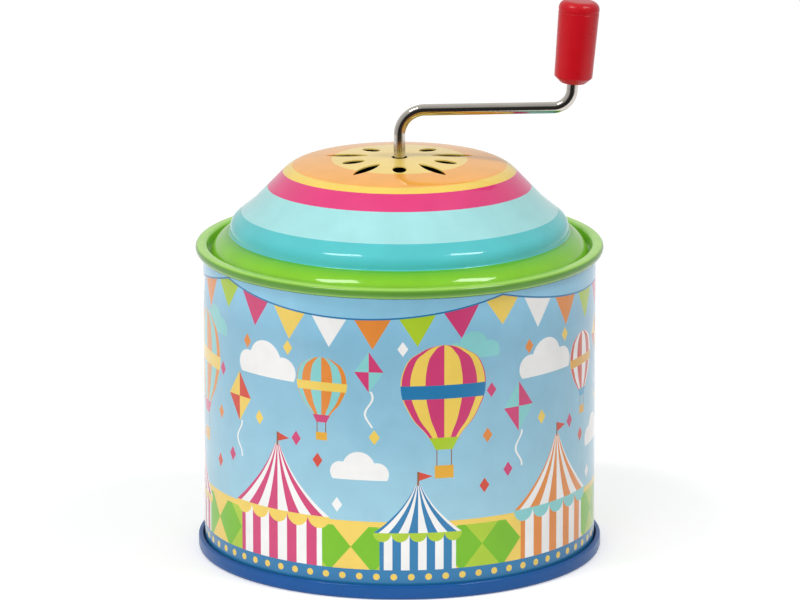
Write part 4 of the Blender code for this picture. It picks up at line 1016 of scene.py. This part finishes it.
FINISHES = {
    # Rolled sheet with its coat of tin: pale, with fine upright lines.
    "tinplate_rolled_bare": ("#B4B4B2", 0.30, 0.5, (1.0, 1.0, 0.12)),
    # Turned and polished brass: warm yellow, with fine lines along it.
    "brass_turned": ("#C79F59", 0.28, 0.3, (0.2, 1.0, 1.0)),
    # Electroplated: pale blue-grey, with an even fine grain and a half-dull gloss.
    "steel_zinc_plated": ("#A9ABB0", 0.30, 0.4, (1.0, 1.0, 1.0)),
    # Ground on a wheel: darker, with long fine scratches that stretch the highlight.
    "comb_steel_ground": ("#93979D", 0.26, 0.25, (0.15, 1.0, 1.0)),
    # Blackened in oil: nearly black, with a satin gleam on its edges.
    "steel_blackened": ("#2B2A2A", 0.42, 0.5, (1.0, 1.0, 1.0)),
    # Cast under pressure: a dull grey skin with coarse flow marks.
    "zinc_die_cast": ("#8F9092", 0.48, 0.8, (1.0, 1.0, 1.0)),
    # Drawn steel wire under bright nickel: a warm, clear mirror with hardly any grain.
    "steel_wire_nickel_plated": ("#CBC5BC", 0.13, 0.35, (1.0, 1.0, 1.0), 0.03, 0.0025),
}
for name, values in FINISHES.items():
    metal(name, *values)
rod.data.materials.append(bpy.data.materials["steel_wire_nickel_plated"])
print(len(FINISHES), "metals")

# %% [markdown]
# Acetal is the white, slightly waxy plastic of small gears. It takes the same recipe as the knob's plastic:
# clouds of 6 mm in its colour and gloss, a swell of 5 mm, and the tool's texture of 0.3 mm.

# %% Plastics
CLOUDING, SWELL, TOOL_TEXTURE = 160.0, 210.0, 3000.0


def plastic(name, code, roughness, glow):
    """A moulded plastic: soft waviness, a fine tool texture and a little light under its skin."""
    tree, shader = open_material(name)
    place = node(tree, "TexCoord", out="Object")
    cloudy = node(tree, "TexNoise", {"Vector": place, "Scale": CLOUDING, "Detail": 3.0})
    shade = node(tree, "MapRange", [cloudy, 0.3, 0.7, 0.94, 1.05])
    swell = node(tree, "TexNoise", {"Vector": place, "Scale": SWELL, "Detail": 1.0})
    wavy = node(tree, "Bump", {"Height": swell, "Strength": 0.30, "Distance": 0.12 * MM})
    texture = node(tree, "TexNoise", {"Vector": place, "Scale": TOOL_TEXTURE, "Detail": 2.0})
    skin = node(tree, "Bump", {"Height": texture, "Strength": 0.15, "Distance": 0.01 * MM, "Normal": wavy})
    gloss = node(tree, "MapRange", [cloudy, 0.3, 0.7, roughness - 0.04, roughness + 0.06])
    feed(tree, shader, {
        "Base Color": node(tree, "HueSaturation", {"Value": shade, "Color": linear(code)}),
        "Roughness": gloss, "IOR": 1.49, "Specular IOR Level": 0.3, "Normal": skin,
        "Subsurface Weight": glow, "Subsurface Radius": (1.0, 0.25, 0.2), "Subsurface Scale": 0.6 * MM,
    })
    return bpy.data.materials[name]


# Moulded polypropylene: a deep red that glows a little at its edges, with a soft broad highlight.
knob.data.materials.append(plastic("polypropylene_red_moulded", "#C20E1C", 0.27, 0.10))
# Moulded acetal: an off-white that looks waxy, because light goes deeper into it.
plastic("acetal_white_moulded", "#E4E1D8", 0.42, 0.2)
print(len(bpy.data.materials), "materials so far")

# %% [markdown]
# ## The movement inside
# The movement keeps its CAD shapes. Only its finishes change: each node's slot takes the material that the
# real piece is made of.

# %% Finish the movement
MOVEMENT = {
    "brass_turned": ("worm_shaft", "pinned_cylinder"),
    "steel_zinc_plated": (
        "thrust_washer", "cylinder_arbor", "comb_screw_1", "comb_screw_2", "cylinder_bearing",
        "bearing_screw_1", "bearing_screw_2", "hanger_screw_1", "hanger_screw_2",
    ),
    "comb_steel_ground": ("comb",),
    "steel_blackened": ("shaft_clip", "hanger_bracket"),
    "zinc_die_cast": ("bedplate",),
    "acetal_white_moulded": ("worm_wheel", "cylinder_end_plug"),
}
for name, nodes in MOVEMENT.items():
    for label in nodes:
        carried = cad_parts[label].data.materials
        carried.clear()
        carried.append(bpy.data.materials[name])
print(sum(len(nodes) for nodes in MOVEMENT.values()), "pieces of the movement finished")

# %% [markdown]
# ## Floor and light
# A catalogue picture has a white floor that runs into a white background. The floor stays a plain matt
# surface so that it takes a shadow, and gets a little extra white for what the camera sees, directly, in
# metal or through glass. It ends 130 mm in front of the tin's axis, so that the wire mirrors the dark of the
# studio there.

# %% Lay the floor
FLOOR_SIZE = 0.8
FLOOR_FRONT = -0.13
FLOOR_GLOW = 0.35


def seen_by(tree, *rays):
    """1 for rays of the named kinds and 0 for all others."""
    masks = [node(tree, "LightPath", out=f"Is {ray} Ray") for ray in rays]
    seen = masks[0]
    for mask in masks[1:]:
        seen = node(tree, "Math.MAXIMUM", [seen, mask])
    return seen


bpy.ops.object.select_all(action="DESELECT")
bpy.ops.mesh.primitive_plane_add(size=FLOOR_SIZE, location=(0, FLOOR_FRONT + FLOOR_SIZE / 2, 0))
floor = bpy.context.object
bpy.ops.object.transform_apply()
floor.name = "studio_floor"
# Coated background paper: an even matt white that takes a soft shadow.
tree, shader = open_material("paper_white_matt")
seen = seen_by(tree, "Camera", "Glossy", "Transmission")
feed(tree, shader, {
    "Base Color": linear("#F2F2F2"), "Roughness": 0.9, "Specular IOR Level": 0.1,
    "Emission Color": (1.0, 1.0, 1.0, 1.0),
    "Emission Strength": node(tree, "Math.MULTIPLY", [seen, FLOOR_GLOW]),
})
floor.data.materials.append(bpy.data.materials["paper_white_matt"])
print("floor laid, front edge at", FLOOR_FRONT, "m")

# %% [markdown]
# The world is plain white to the camera and through glass. To mirror rays it is a studio, pale behind the
# tin, greyer towards the camera and dark behind it, which is what gives polished wire its dark core. To
# diffuse light it is a grey fill that comes mostly from above, so that the shadow keeps its depth.

# %% Hang the surround
STUDIO = ((0.30, 0.80), (0.50, 0.62), (0.82, 0.50), (0.91, 0.03))
FILL_LOW, FILL_HIGH = 0.12, 0.44
world = bpy.data.worlds.new("white_surround")
world.use_nodes = True
bpy.context.scene.world = world
tree = world.node_tree
back = tree.nodes["Background"]
direction = node(tree, "TexCoord", out="Generated")
facing = node(tree, "VectorMath.DOT_PRODUCT", [direction, (0.0, -1.0, 0.0)], out="Value")
facing = node(tree, "MapRange", [facing, -1.0, 1.0])
studio = node(tree, "ValToRGB", [facing])
set_stops(studio.node.color_ramp, [(position, (grey, grey, grey, 1.0)) for position, grey in STUDIO])
height = node(tree, "SeparateXYZ", [direction], out="Z")
fill = node(tree, "MapRange", [height, -0.05, 0.15, FILL_LOW, FILL_HIGH])
level = node(tree, "Mix", {0: seen_by(tree, "Glossy"), 2: fill, 3: studio})
level = node(tree, "Mix", {0: seen_by(tree, "Camera", "Transmission"), 2: level, 3: 1.0})
feed(tree, back, {"Color": (1.0, 1.0, 1.0, 1.0), "Strength": level})
print("surround hung with", len(STUDIO), "shades")

# %% [markdown]
# Two softboxes hang over the tin, one to the left and one to the right, each with its long side level. Their
# reflections are the pairs of bright dashes on the eave, the shelf and the base. They stand high enough that
# the flank doesn't mirror them. A large weak lamp from the left front lifts the wall, without a reflection.

# %% Hang the lamps
def softbox(name, towards, distance, width, length, power):
    """A rectangular lamp in a direction from the tin's top, turned to face it."""
    lamp = bpy.data.lights.new(name, "AREA")
    lamp.shape = "RECTANGLE"
    lamp.size = width
    lamp.size_y = length
    lamp.energy = power
    holder = bpy.data.objects.new(name, lamp)
    bpy.context.scene.collection.objects.link(holder)
    away = Vector(towards).normalized()
    across = (Vector((1, 0, 0)) - away * away.x).normalized()
    holder.location = Vector((0, 0, 60 * MM)) + away * distance
    holder.rotation_euler = Matrix((across, away.cross(across), away)).transposed().to_euler()
    print(name, [round(value, 2) for value in holder.location])
    return holder


softbox("softbox_left", (-0.455, -0.298, 0.840), 1.25, 0.42, 0.24, 4.3)
softbox("softbox_right", (0.536, -0.229, 0.813), 1.25, 0.40, 0.24, 4.3)
softbox("wall_fill", (-0.40, -1.0, 0.16), 2.2, 1.2, 1.2, 22.0).visible_glossy = False

# %% Set the view transform
bpy.context.scene.view_settings.view_transform = "Standard"
